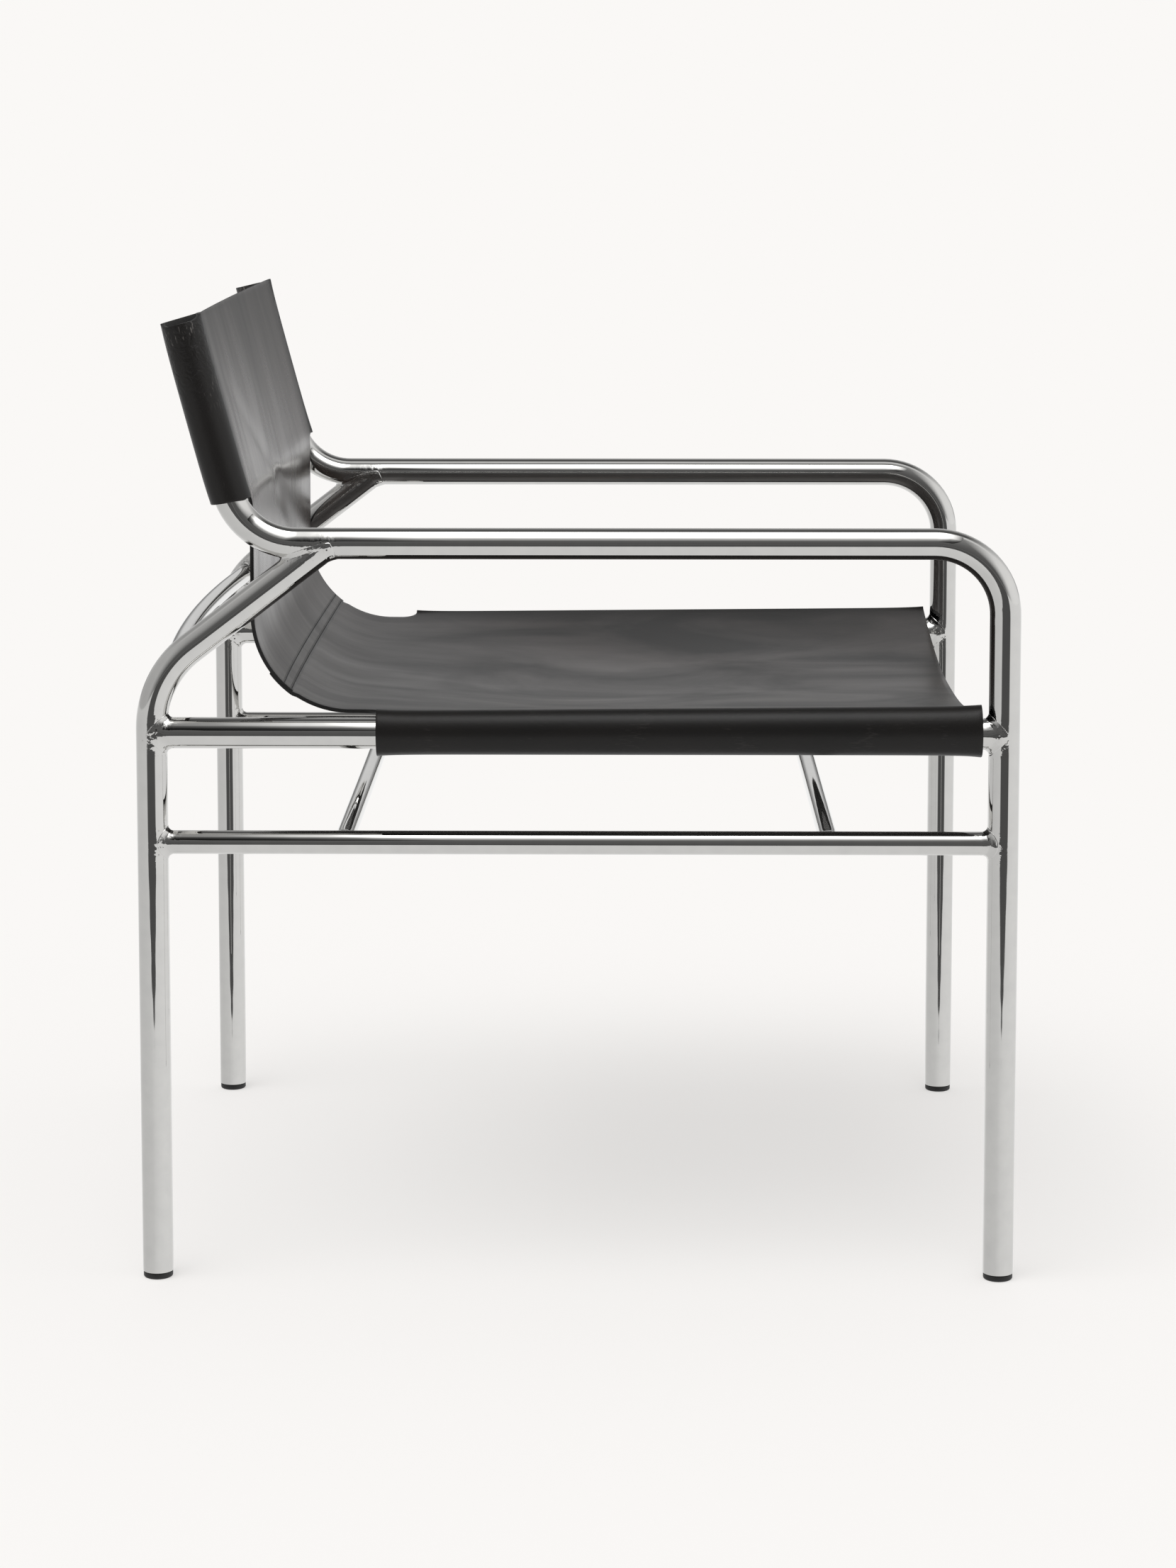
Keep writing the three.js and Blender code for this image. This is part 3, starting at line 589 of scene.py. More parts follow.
def smooth_step(value, low, high):
    """From 0 to 1 between low and high, as three squares less two cubes of the share."""
    share = np.clip((value - low) / (high - low), 0, 1)
    return share * share * (3 - 2 * share)


class Sling:
    """The leather's profile in the side view, and how it hangs between the frames. Distances are
    counted along the profile from the back's top edge."""

    def __init__(self, scene):
        chair, sizes = scene.armchair_frame, scene.armchair_sling
        self.sizes = sizes
        self.half, self.tube = chair.spacing / 2, chair.tube / 2
        wall = self.tube + sizes.leather
        axis = np.array([0.0, math.sin(chair.lean), math.cos(chair.lean)])
        outward = np.array([0.0, -math.cos(chair.lean), math.sin(chair.lean)])
        upright = frame_paths(chair, 0)["front"]
        tip = upright.sample(np.array([upright.total]))[0][0]
        self.back_depth = 2 * wall + sizes.back_front + sizes.back_rear
        self.back_sleeve = sizes.over_end + chair.upright + sizes.over_bend
        top = tip + axis * sizes.over_end + outward * (wall + sizes.back_front)
        fold = top - axis * (self.back_sleeve + sizes.fold_setback)
        hollow = chair.legs / 2 - fold[1]
        self.seat_rear = wall + sizes.rear_rise
        self.seat_front = wall + sizes.front_rise
        self.seat_drop = wall + sizes.seat_drop
        seat_start = hollow + sizes.hollow + sizes.seat_setback
        seat_end = chair.legs - self.tube - sizes.seat_front
        slope = (self.seat_front - self.seat_rear) / (seat_end - seat_start)
        rise = self.seat_rear + slope * (hollow - seat_start)
        rear_corner = place(chair, hollow, chair.seat_rail + rise)
        front_edge = place(chair, seat_end, chair.seat_rail + self.seat_front)
        corners = [top, fold, rear_corner, front_edge]
        self.profile = BentPath(corners, [sizes.fold, sizes.hollow])
        self.total = self.profile.total
        self.seat_start = self.total - (seat_end - seat_start)
        self.hollow_start, hollow_length = self.profile.bends[1]
        self.hollow_end = self.hollow_start + hollow_length
        above = self.profile.sample(np.array([self.hollow_start]))[0][0, 2]
        seam_height = chair.seat_rail + sizes.seam_rise
        turned = math.asin(min(1, max(0, (above - seam_height) / sizes.hollow)))
        self.seam = self.hollow_start + turned * sizes.hollow
        self.lap_end = self.seam + sizes.rows / 2 + sizes.lap_edge
        self.lap_start = self.lap_end - sizes.lap
        self.flap = -(2 * sizes.leather + FLAP_GAP)

    def sag(self, distance):
        """How far the middle of the sheet hangs behind or below its crest lines: from the top's
        sag it goes to the lower back's by the hollow, and on to the seat's, on smooth steps."""
        s = self.sizes
        to_seam = smooth_step(distance, 0, self.hollow_start)
        to_seat = smooth_step(distance, self.hollow_start, self.hollow_end + s.sag_run)
        back = s.top_sag + (s.lower_sag - s.top_sag) * to_seam
        return back + (s.seat_sag - s.lower_sag) * to_seat

    def hang(self, across, distance, lift):
        """Takes a spot of the flat leather to where it hangs: out from the profile by its lift,
        less the sag times one minus the square of its share of the way to the frame."""
        across, distance, lift = np.broadcast_arrays(across, distance, lift)
        point, tangent = self.profile.sample(distance)
        outward = np.cross(tangent, X_AXIS)
        fullness = np.clip(1 - (across / self.half) ** 2, 0, None)
        away = lift - self.sag(distance) * fullness
        hung = point + away[..., None] * outward
        hung[..., 0] = across
        return hung

    def give(self, across, distance):
        """The soft unevenness of used leather, which fades to nothing at the frames: a crease
        that runs slanting down the back, as a bell curve across it; slack folds that fan out
        below the seam, as a sine of a bent share across; and slow waves on the seat, as a
        product of two sines."""
        share = across / self.half
        down = distance / self.seam
        slanted = down - CREASE_PLACE - CREASE_SLANT * share
        back = CREASE_DEPTH * np.exp(-((slanted / CREASE_WIDTH) ** 2))
        back = back * np.exp(-((down - CREASE_PLACE) ** 2) / CREASE_FADE)
        near_seam = np.exp(-(((distance - self.seam - FAN_BELOW) / FAN_LENGTH) ** 2))
        bent = FAN_TURN * share + FAN_BEND * np.sin(BEND_TURN * share) + FAN_START
        fans = FAN_HEIGHT * near_seam * np.sin(bent)
        seat = smooth_step(distance, self.hollow_end, self.hollow_end + WAVE_RUN)
        waves = WAVE_HEIGHT
        for aside, along in WAVES:
            waves = waves * np.sin(aside * share + along * distance)
        calm = np.clip(1 - share**2, 0, 1)
        return (fans + seat * waves - back) * calm

    def edge_inset(self, beyond):
        """How far inside the frame's middle the sheet ends, from how far a row is beyond the
        sleeve's cut. The free edge runs out into the sleeve's edge on a quarter ellipse."""
        s = self.sizes
        share = np.clip(1 - beyond / s.corner, 0, 1)
        return s.free_edge - (s.free_edge - s.sleeve_edge) * (1 - np.sqrt(1 - share**2))

    def corner_rows(self, cut, way):
        """Extra rows that follow the round corner at a sleeve's cut."""
        turned = np.linspace(0, np.pi / 2, CORNER_MARKS)
        return cut + way * self.sizes.corner * (1 - np.cos(turned))

    def substance(self, distance, whole, thin):
        """The leather's thickness across the lap, as a share: it is skived evenly from whole
        where the lap begins to thin where it ends."""
        least = self.sizes.skived / self.sizes.leather
        return 1 - (1 - least) * np.clip((distance - whole) / (thin - whole), 0, 1)

    def flared(self, distance, start, stop):
        """How far a sleeve stands off wider near its cut ends: it falls off as e to the power of
        minus the distance to the nearer end over 16 mm."""
        nearest = np.minimum(np.abs(distance - start), np.abs(distance - stop))
        return self.sizes.flare * np.exp(-nearest / FLARE_RUN)

    def seat_depth(self, distance):
        """A seat sleeve's depth: it grows evenly towards the front, and flares at its ends."""
        share = (distance - self.seat_start) / (self.total - self.seat_start)
        plain = self.seat_rear + (self.seat_front - self.seat_rear) * share + self.seat_drop
        return plain + 2 * self.flared(distance, self.seat_start, self.total)

    def sleeve_section(self, depth, edge):
        """A sleeve's outer face as insets and lifts: flat from the sheet's edge to the crest,
        half an ellipse round the tube's outer side, a cubic curve back under it, and flat
        along the hem. Also the length along it, which is where each spot lies in the cut."""
        s = self.sizes
        side = self.tube + s.leather + s.side
        flat = np.linspace(1, 0, TOP_MARKS)[None, 1:] * edge
        angle = np.linspace(np.pi / 2, 1.5 * np.pi, ROUND_MARKS)[None, 1:]
        t = np.linspace(0, 1, UNDER_MARKS)[None, 1:]
        turned, rise = (s.hem * share for share in UNDER_SHARES)
        meet = s.hem - s.hem_seam
        b0, b1 = (1 - t) ** 3, 3 * t * (1 - t) ** 2
        b2, b3 = 3 * t**2 * (1 - t), t**3
        hem = np.linspace(meet, s.hem, HEM_MARKS)[None, 1:]
        one = np.ones_like(depth)
        insets = (flat, side * np.cos(angle), b1 * turned + b2 * rise + b3 * meet, hem)
        under = -depth * (b0 + b1) + self.flap * (b2 + b3)
        lifts = (0 * flat, depth / 2 * (np.sin(angle) - 1), under, self.flap + 0 * hem)
        inset = np.concatenate([part * one for part in insets], 1)
        lift = np.concatenate([part * one for part in lifts], 1)
        before = np.concatenate([edge * one[:, :1], inset[:, :-1]], 1)
        below = np.concatenate([np.zeros_like(one[:, :1]), lift[:, :-1]], 1)
        length = np.cumsum(np.hypot(inset - before, lift - below), axis=1)
        return inset, lift, length


def even_rows(start, stop, extra):
    """Distances from start to stop, evenly spaced, with some more rows worked in."""
    even = np.linspace(start, stop, max(2, round((stop - start) / ROW_PITCH) + 1))
    extra = extra[(extra > start) & (extra < stop)]
    crowded = (np.abs(even[:, None] - extra) < ROW_CLEAR).any(1)
    crowded[[0, -1]] = False
    return np.sort(np.concatenate([even[~crowded], extra]))


def leather_panel(sling, cut):
    """A cut of leather: a sheet of rows and columns between its two edges, and a strip on each
    side that leaves the sheet's edge column and wraps the tube. Both are points of the same
    hanging surface. Its UV map is the spot in the flat cut, in metres."""
    rows, edge = cut.rows[:, None], sling.edge_inset(cut.beyond)[:, None]
    across = (sling.half - edge) * np.linspace(-1, 1, COLUMNS)[None, :]
    points = [sling.hang(across, rows, sling.give(across, rows) + cut.lift(rows))]
    spots = [np.stack(np.broadcast_arrays(across, rows), -1)]
    index = np.arange(across.size).reshape(across.shape)
    faces = [grid_faces(index[:, ::-1])]
    count = across.size

    sleeved = cut.beyond <= SAME_SPOT
    part, edge = rows[sleeved], edge[sleeved]
    inset, up, length = sling.sleeve_section(cut.depth(part), edge)
    off = sling.flared(part, part[0], part[-1]) * np.clip(1 - inset / edge, 0, 1)
    outer = np.clip(-inset / sling.tube, 0, 1)
    lowered = part + cut.scroll * outer * np.exp(-part / SCROLL_RUN)
    for side, column in ((-1.0, 0), (1.0, COLUMNS - 1)):
        points.append(sling.hang(side * (sling.half - inset), lowered, up + off))
        flat = side * (sling.half - edge + length)
        spots.append(np.stack(np.broadcast_arrays(flat, part), -1))
        strip = count + np.arange(inset.size).reshape(inset.shape)
        strip = np.concatenate([index[sleeved, column][:, None], strip], 1)
        faces.append(grid_faces(strip if side < 0 else strip[:, ::-1]))
        count += inset.size

    points = np.concatenate([p.reshape(-1, 3) for p in points])
    spots = np.concatenate([p.reshape(-1, 2) for p in spots])
    faces = np.concatenate(faces)
    name, hide = f"{cut.part}_sling", [saddle_leather(sling), flesh_side(), burnished_edge()]
    piece = new_piece(
        f"leather_{name}", points, faces.tolist(), hide, name, closed=False
    )
    layer = piece.data.uv_layers.new(name="cut")
    layer.data.foreach_set("uv", spots[faces.ravel()].astype(np.float32).ravel())
    return piece


def give_thickness(piece, sling, whole, thin):
    """A wall of leather behind the grain side, skived thin where it laps, with soft edges."""
    group = piece.vertex_groups.new(name="substance")
    mesh = piece.data
    uv = np.empty(len(mesh.loops) * 2, np.float32)
    mesh.uv_layers["cut"].data.foreach_get("uv", uv)
    corner = np.empty(len(mesh.loops), np.int64)
    mesh.loops.foreach_get("vertex_index", corner)
    down = np.zeros(len(mesh.vertices))
    down[corner] = uv.reshape(-1, 2)[:, 1]
    weight = np.round(sling.substance(down, whole, thin), 2)
    for level in np.unique(weight):
        group.add(np.flatnonzero(weight == level).tolist(), float(level), "REPLACE")
    wall = piece.modifiers.new("thickness", "SOLIDIFY")
    wall.thickness = sling.sizes.leather
    wall.offset = -1
    wall.use_even_offset = True
    wall.use_quality_normals = True
    wall.vertex_group = group.name
    wall.thickness_vertex_group = 0
    wall.material_offset = 1
    wall.material_offset_rim = 2
    soft = piece.modifiers.new("edges", "BEVEL")
    soft.width = sling.sizes.edge_round
    soft.segments = 2
    soft.limit_method = "ANGLE"
    soft.angle_limit = SOFT_EDGE_ANGLE


def hang_cut(sling, cut):
    s = sling.sizes
    piece = leather_panel(sling, cut)
    give_thickness(piece, sling, cut.whole, cut.thin)
    part = cut.rows[cut.beyond <= SAME_SPOT]
    edge = np.array([[s.sleeve_edge]])
    _, _, length = sling.sleeve_section(cut.depth(part[-1:])[:, None], edge)
    [f"stitches_{name}" for name in cut.threads]


def stitched_row(sling, across, distance, base, thread, pitch):
    """A thread that rises over the leather for each stitch and dips into it between: its lift
    swings with the root of a sine along the row. A ring is carried along it, turned from the
    leather's outward direction towards the square of that and the row. A thread of a negative
    thickness rises to the other side."""
    step = np.hypot(np.diff(across), np.diff(distance))
    travelled = np.concatenate([[0], np.cumsum(step)])
    wave = np.abs(np.sin(np.pi * travelled / pitch))
    lift = base + thread * (THREAD_RISE * np.sqrt(wave) - THREAD_DIP)
    line = sling.hang(across, distance, lift)
    outward = unit(sling.hang(across, distance, lift + PROBE) - line)
    tangent = unit(np.gradient(line, axis=0))
    square = np.cross(tangent, outward)
    angles = np.linspace(0, 2 * np.pi, THREAD_AROUND, endpoint=False)[None, :, None]
    spoke = np.cos(angles) * outward[:, None] + np.sin(angles) * square[:, None]
    return closed_skin(line[:, None] + thread / 2 * spoke, [line[0], line[-1]])


# Finishes

WIPED_CHROME = linear("#D2D1CF")
PITTED_CHROME = linear("#3B3936")
PAINTED_GROOVE_SHADE = linear("#080808")
# painted shade in the two pressed lines of the seam
SCUFFED_LEATHER = linear("#6A6663")
DEEP_FLESH = linear("#161514")
DEEP_EDGE = linear("#0E0D0C")
DUSTY_PLASTIC = linear("#232221")
WORN_THREAD = linear("#24211F")


def node(tree, kind, inputs=None, stops=(), **settings):
    """Adds a node, gives it its settings, and sets or links its inputs. A node among the inputs
    stands for its first output in use. A ramp's grey stops are spread from its first mark to
    its last. By number, a colour Mix blends 6 and 7, a plain Mix 2 and 3, and Map Range takes
    0 from 1..2 to 3..4."""
    made = tree.nodes.new(f"ShaderNode{kind}")
    for key, value in settings.items():
        setattr(made, key, value)
    for number, (mark, level) in enumerate(stops):
        marks = made.color_ramp.elements
        if number == 0:
            marks.remove(marks[1])
        share = (mark - stops[0][0]) / (stops[-1][0] - stops[0][0])
        stop = marks.new(share) if number else marks[0]
        stop.position = share
        stop.color = (level, level, level, 1)
    for socket, value in (inputs or {}).items():
        if isinstance(value, bpy.types.Node):
            value = next(output for output in value.outputs if not output.is_unavailable)
        if isinstance(value, bpy.types.NodeSocket):
            tree.links.new(value, made.inputs[socket])
        else:
            made.inputs[socket].default_value = value
    return made


def named_finish(name):
    """Makes the function below it give the material of this name. The first call makes it, and
    the function then gets its empty tree and the colours to add its nodes with."""

    def wrap(add_nodes):
        @functools.wraps(add_nodes)
        def material(*measured):
            made = bpy.data.materials.get(name)
            if made is None:
                made = bpy.data.materials.new(name)
                made.use_nodes = True
                made.node_tree.nodes.clear()
                add_nodes(made.node_tree, bpy.context.scene.armchair_finishes, *measured)
            return made

        return material

    return wrap


def plain_skin(tree, tone, first, second, grain, strength, depth, shader):
    """The end of a plain finish: a colour between two by a tone, a bump from a grain, and the
    values of the shader."""
    base = node(tree, "Mix", {0: tone, 6: first, 7: second}, data_type="RGBA")
    bump = node(tree, "Bump", {"Height": grain, "Strength": strength, "Distance": depth})
    skin = node(tree, "BsdfPrincipled", {"Base Color": base, "Normal": bump, **shader})
    node(tree, "OutputMaterial", {0: skin})


@named_finish("polished_chrome_plate")
def polished_chrome(tree, colours):
    """Bright chromium plate on drawn steel tube: a mirror that the tube's slight waviness bends,
    lumpy and pitted round the ground welds, with faint wipe marks."""
    where = node(tree, "TexCoord").outputs["Object"]
    # slow waves of the drawn and polished tube, about 45 mm long
    waves = node(tree, "TexNoise", {"Vector": where, "Scale": 22.0, "Detail": 1.0})
    slow = node(tree, "Bump", {"Height": waves, "Strength": 1.0, "Distance": 0.00012})
    # the ground and plated welds: lumps of 5 mm
    lumps = node(tree, "TexNoise", {"Vector": where, "Scale": 190.0, "Detail": 2.0})
    weld = node(tree, "Attribute", attribute_name="weld").outputs["Fac"]
    lumpy = node(tree, "Math", {0: lumps, 1: weld}, operation="MULTIPLY")
    raised = {"Height": lumpy, "Strength": 1.0, "Distance": 0.0005, "Normal": slow}
    bent = node(tree, "Bump", raised)
    # pits in the welds, where the plating has not taken, some 6 mm apart
    holes = node(tree, "TexVoronoi", {"Vector": where, "Scale": 160.0})
    hole = node(tree, "MapRange", {0: holes, 1: 0.16, 2: 0.08})
    pit = node(tree, "Math", {0: hole, 1: weld}, operation="MULTIPLY")
    # wipe marks, 12 mm long
    wiped = node(tree, "TexNoise", {"Vector": where, "Scale": 80.0, "Detail": 4.0})
    dull = node(tree, "MapRange", {0: wiped, 1: 0.35, 2: 0.8, 3: 0.015, 4: 0.05})
    plate = node(tree, "Mix", {0: wiped, 6: colours.chrome, 7: WIPED_CHROME}, data_type="RGBA")
    shade = node(tree, "Mix", {0: pit, 6: plate, 7: PITTED_CHROME}, data_type="RGBA")
    shader = {"Base Color": shade, "Metallic": 1.0, "Roughness": dull, "Normal": bent}
    node(tree, "OutputMaterial", {0: node(tree, "BsdfPrincipled", shader)})


@named_finish("waxed_black_saddle_leather")
def saddle_leather(tree, colours, sling):
    """Vegetable-tanned saddle leather, dyed black and waxed: a smooth closed grain with broad
    soft streaks down the back and clouds of wax on the seat, glossy where backs have rubbed it and
    lightened there by a painted sheen, pressed in along the seam with painted shade in its lines,
    and creased and scuffed at the tops of the sleeves."""
    cut = node(tree, "UVMap", uv_map="cut").outputs[0]
    spot = node(tree, "SeparateXYZ", {0: cut}).outputs
    down = spot["Y"]
    aside = node(tree, "Math", {0: spot["X"]}, operation="ABSOLUTE")
    # streaks run down the hide: 70 mm wide and some 300 mm long, with finer ones in them
    drawn = node(tree, "Mapping", {"Vector": cut, "Scale": (1.0, 0.2, 1.0)})
    broken = {"Vector": drawn, "Scale": 15.0, "Detail": 5.0, "Roughness": 0.6, "Distortion": 0.2}
    streak = node(tree, "TexNoise", broken)
    # clouds of wax, about 90 mm across and twice as long
    longer = node(tree, "Mapping", {"Vector": cut, "Scale": (1.0, 0.5, 1.0)})
    puffy = {"Vector": longer, "Scale": 11.0, "Detail": 5.0, "Roughness": 0.55, "Distortion": 0.8}
    cloud = node(tree, "TexNoise", puffy)
    # the back is streaked, and the seat, from 0.4 m on along the leather, is clouded
    clouded = node(tree, "MapRange", {0: down, 1: 0.35, 2: 0.5, 3: 0.25, 4: 0.85})
    tone = node(tree, "Mix", {0: clouded, 2: streak, 3: cloud}, data_type="FLOAT")
    cloudy = node(tree, "MapRange", {0: tone, 1: 0.38, 2: 0.66})

    # the sheet between the sleeves, where the wax wears most
    inner = sling.half - sling.sizes.sleeve_edge
    sheet = node(tree, "MapRange", {0: aside, 1: inner, 2: inner - 0.03})
    less = node(tree, "MapRange", {0: sheet, 3: 0.15})
    worn = node(tree, "Math", {0: cloudy, 1: less}, operation="MULTIPLY")
    # and on it the back, down to 0.2 m and fading out by 0.4 m, rubbed glossy along the streaks,
    # with a painted sheen that lightens its colour there
    smooth = {"interpolation_type": "SMOOTHSTEP"}
    sat_on = node(tree, "MapRange", {0: down, 1: -0.03, 2: 0.15, 3: 0.1}, **smooth)
    spared = node(tree, "MapRange", {0: down, 1: 0.4, 2: 0.2}, **smooth)
    zone = node(tree, "Math", {0: sat_on, 1: spared}, operation="MULTIPLY")
    back = node(tree, "Math", {0: zone, 1: sheet}, operation="MULTIPLY")
    line = node(tree, "MapRange", {0: streak, 1: 0.36, 2: 0.62, 3: 0.6, 4: 1.0})
    rubbed_and_sheen = node(tree, "Math", {0: back, 1: line}, operation="MULTIPLY")
    tones = {0: worn, 6: colours.leather, 7: colours.leather_worn}
    waxed = node(tree, "Mix", tones, data_type="RGBA")
    # the painted sheen: the rubbed streaks are lightened in colour
    tones = {0: rubbed_and_sheen, 6: waxed, 7: colours.leather_painted_sheen}
    with_painted_sheen = node(tree, "Mix", tones, data_type="RGBA")

    # the two stitched lines of the seam, pressed in 2 mm wide, and darkened there by painted shade
    apart = node(tree, "Math", {0: down, 1: sling.seam}, operation="SUBTRACT")
    beside = node(tree, "Math", {0: apart}, operation="ABSOLUTE")
    off = node(tree, "Math", {0: beside, 1: sling.sizes.rows / 2}, operation="SUBTRACT")
    near = node(tree, "Math", {0: off}, operation="ABSOLUTE")
    pressed_and_shade = node(tree, "MapRange", {0: near, 1: 0.0016, 2: 0.0008})
    seam_with_shade = node(tree, "Mix", {0: pressed_and_shade, 6: with_painted_sheen, 7: PAINTED_GROOVE_SHADE}, data_type="RGBA")

    # pale scuffs on the sleeves, 1.5 mm wide and 9 mm long, thickest in their top 30 mm
    tilted = {"Vector": cut, "Scale": (1.0, 0.16, 1.0), "Rotation": (0, 0, 0.5)}
    scuff_way = node(tree, "Mapping", tilted)
    scratch = node(tree, "TexNoise", {"Vector": scuff_way, "Scale": 700.0, "Detail": 2.0})
    patch = node(tree, "TexNoise", {"Vector": cut, "Scale": 24.0, "Detail": 1.0})
    both = node(tree, "Math", {0: scratch, 1: patch}, operation="MULTIPLY")
    scuff = node(tree, "MapRange", {0: both, 1: 0.36, 2: 0.42})
    top = node(tree, "MapRange", {0: down, 1: 0.08, 2: 0.03, 3: 0.05, 4: 0.6})
    sleeve = node(tree, "Math", {0: 1.0, 1: sheet}, operation="SUBTRACT")
    on_top = node(tree, "Math", {0: top, 1: sleeve}, operation="MULTIPLY")
    pale = node(tree, "Math", {0: scuff, 1: on_top}, operation="MULTIPLY")
    base = node(tree, "Mix", {0: pale, 6: seam_with_shade, 7: SCUFFED_LEATHER}, data_type="RGBA")

    # the gloss ends sooner than the painted sheen in the colour, below the fold
    leaned_on = node(tree, "MapRange", {0: down, 1: 0.32, 2: 0.19}, **smooth)
    glossy = node(tree, "Math", {0: leaned_on, 1: rubbed_and_sheen}, operation="MULTIPLY")
    satin = node(tree, "MapRange", {0: worn, 3: 0.4, 4: 0.28})
    dull = node(tree, "Mix", {0: glossy, 2: satin, 3: 0.23}, data_type="FLOAT")
    # the sleeves are waxed less and shine less, and the rubbed back shines more
    wax = node(tree, "MapRange", {0: sheet, 3: 0.27, 4: 0.42})
    shine = node(tree, "Math", {0: rubbed_and_sheen, 1: 0.55, 2: wax}, operation="MULTIPLY_ADD")

    # the real pores are 0.3 mm apart; they are drawn at 0.9 mm to show at all, and where backs
    # lean they are rubbed smooth
    pores = node(tree, "TexVoronoi", {"Vector": cut, "Scale": 1100.0})
    grain = node(tree, "TexNoise", {"Vector": cut, "Scale": 160.0, "Detail": 5.0})
    skin = node(tree, "Math", {0: grain, 1: pores}, operation="ADD")
    coarse = node(tree, "MapRange", {0: rubbed_and_sheen, 2: 0.6, 3: 0.35, 4: 0.02})
    fine = node(tree, "Bump", {"Height": skin, "Strength": coarse, "Distance": 0.00007})
    raised = {"Height": tone, "Strength": 0.5, "Distance": 0.0004, "Normal": fine}
    broad = node(tree, "Bump", raised)
    # creases across the sleeves' tops, 9 mm apart
    knotted = {"Vector": cut, "Scale": 110.0, "Detail": 3.0, "Distortion": 1.5}
    creases = node(tree, "TexNoise", knotted)
    creased = node(tree, "Math", {0: creases, 1: on_top}, operation="MULTIPLY")
    raised = {"Height": creased, "Strength": 1.0, "Distance": 0.002, "Normal": broad}
    folded = node(tree, "Bump", raised)
    raised = {"Height": pressed_and_shade, "Strength": 1.0, "Distance": 0.0003, "Normal": folded}
    sunk = node(tree, "Bump", raised, invert=True)
    shader = {"Base Color": base, "Roughness": dull, "Specular IOR Level": shine, "Normal": sunk}
    node(tree, "OutputMaterial", {0: node(tree, "BsdfPrincipled", shader)})


@named_finish("buffed_flesh_side")
def flesh_side(tree, colours):
    """The rear of the hide, dyed through and buffed: matt and fibrous, with no shine."""
    cut = node(tree, "UVMap", uv_map="cut").outputs[0]
    # fibres drawn 1.5 mm coarse, as single ones would not show
    hairy = {"Vector": cut, "Scale": 650.0, "Detail": 5.0, "Roughness": 0.7, "Distortion": 1.2}
    fibre = node(tree, "TexNoise", hairy)
    # clouds of 38 mm, from uneven dyeing
    cloud = node(tree, "TexNoise", {"Vector": cut, "Scale": 26.0, "Detail": 3.0})
    tone = node(tree, "Mix", {0: 0.4, 2: fibre, 3: cloud}, data_type="FLOAT")
    shader = {"Roughness": 0.85, "Sheen Weight": 0.12, "Sheen Roughness": 0.5}
    plain_skin(tree, tone, DEEP_FLESH, colours.flesh, fibre, 0.7, 0.0004, shader)


@named_finish("burnished_leather_edge")
def burnished_edge(tree, colours):
    """The cut edge, dyed and rubbed with wax: darker than the grain, with a slight gloss and
    the layers of the hide still faintly there, drawn 1.4 mm coarse."""
    where = node(tree, "TexCoord").outputs["Object"]
    fibre = node(tree, "TexNoise", {"Vector": where, "Scale": 700.0, "Detail": 3.0})
    plain_skin(tree, fibre, DEEP_EDGE, colours.edge, fibre, 0.5, 0.0002, {"Roughness": 0.5})


@named_finish("moulded_black_polyethylene")
def matt_plastic(tree, colours):
    """Moulded polyethylene: matt black, with the mould's fine spark grain, drawn 1.1 mm coarse,
    and a little dust in patches of 8 mm."""
    where = node(tree, "TexCoord").outputs["Object"]
    spark = node(tree, "TexNoise", {"Vector": where, "Scale": 900.0, "Detail": 3.0})
    dust = node(tree, "TexNoise", {"Vector": where, "Scale": 120.0, "Detail": 3.0})
    plain_skin(tree, dust, colours.plastic, DUSTY_PLASTIC, spark, 0.4, 0.0002, {"Roughness": 0.55})


@named_finish("waxed_black_thread")
def waxed_thread(tree, colours):
    """Bonded nylon thread, waxed black: a low sheen broken up by its twist, whose turns are
    drawn 2.4 mm apart along a row, coarser than the real ones, to show."""
    where = node(tree, "TexCoord").outputs["Object"]
    wound = {"Vector": where, "Scale": 260.0, "Distortion": 1.0}
    twist = node(tree, "TexWave", wound, bands_direction="DIAGONAL").outputs["Fac"]
    plain_skin(tree, twist, colours.thread, WORN_THREAD, twist, 0.5, 0.0001, {"Roughness": 0.5})


# The chair's pieces

# A foot: how much narrower than the tube its pad is, the pad's roundings below and above, and
# its flat face as a share of it. Then the stem: its length, how far it is straight, and how
# much it narrows at its tip.
PAD_INSET, PAD_EDGE, PAD_LIP, PAD_FACE_SHARE = 0.0006, 0.0016, 0.0005, 0.6
FOOT_STEM, FOOT_STRAIGHT, STEM_TAPER = 0.02, 0.0182, 0.0015
# A plug: its stem, its rim over the tube's wall, and its low crown
PLUG_STEM, PLUG_STRAIGHT = 0.014, 0.0125
RIM_INSET, RIM_EDGE, RIM_HEIGHT = 0.001, 0.0004, 0.0006
CROWN_INSET, CROWN_FOOT, CROWN_TOP, CROWN_SHARE = 0.0005, 0.0013, 0.0016, 0.7


class ARMCHAIR_OT_side_frames(bpy.types.Operator):
    """Makes the bent tubes and rails of both side frames, welded together."""

    bl_idname = "armchair.side_frames"
    bl_label = "Side frames"

    def execute(self, context):
        make_tubes(context.scene.armchair_frame, crossing=False)
        return {"FINISHED"}


class ARMCHAIR_OT_cross_members(bpy.types.Operator):
    """Makes the two cross tubes and the bowed back bar that join the side frames."""

    bl_idname = "armchair.cross_members"
    bl_label = "Cross members"

    def execute(self, context):
        make_tubes(context.scene.armchair_frame, crossing=True)
        return {"FINISHED"}


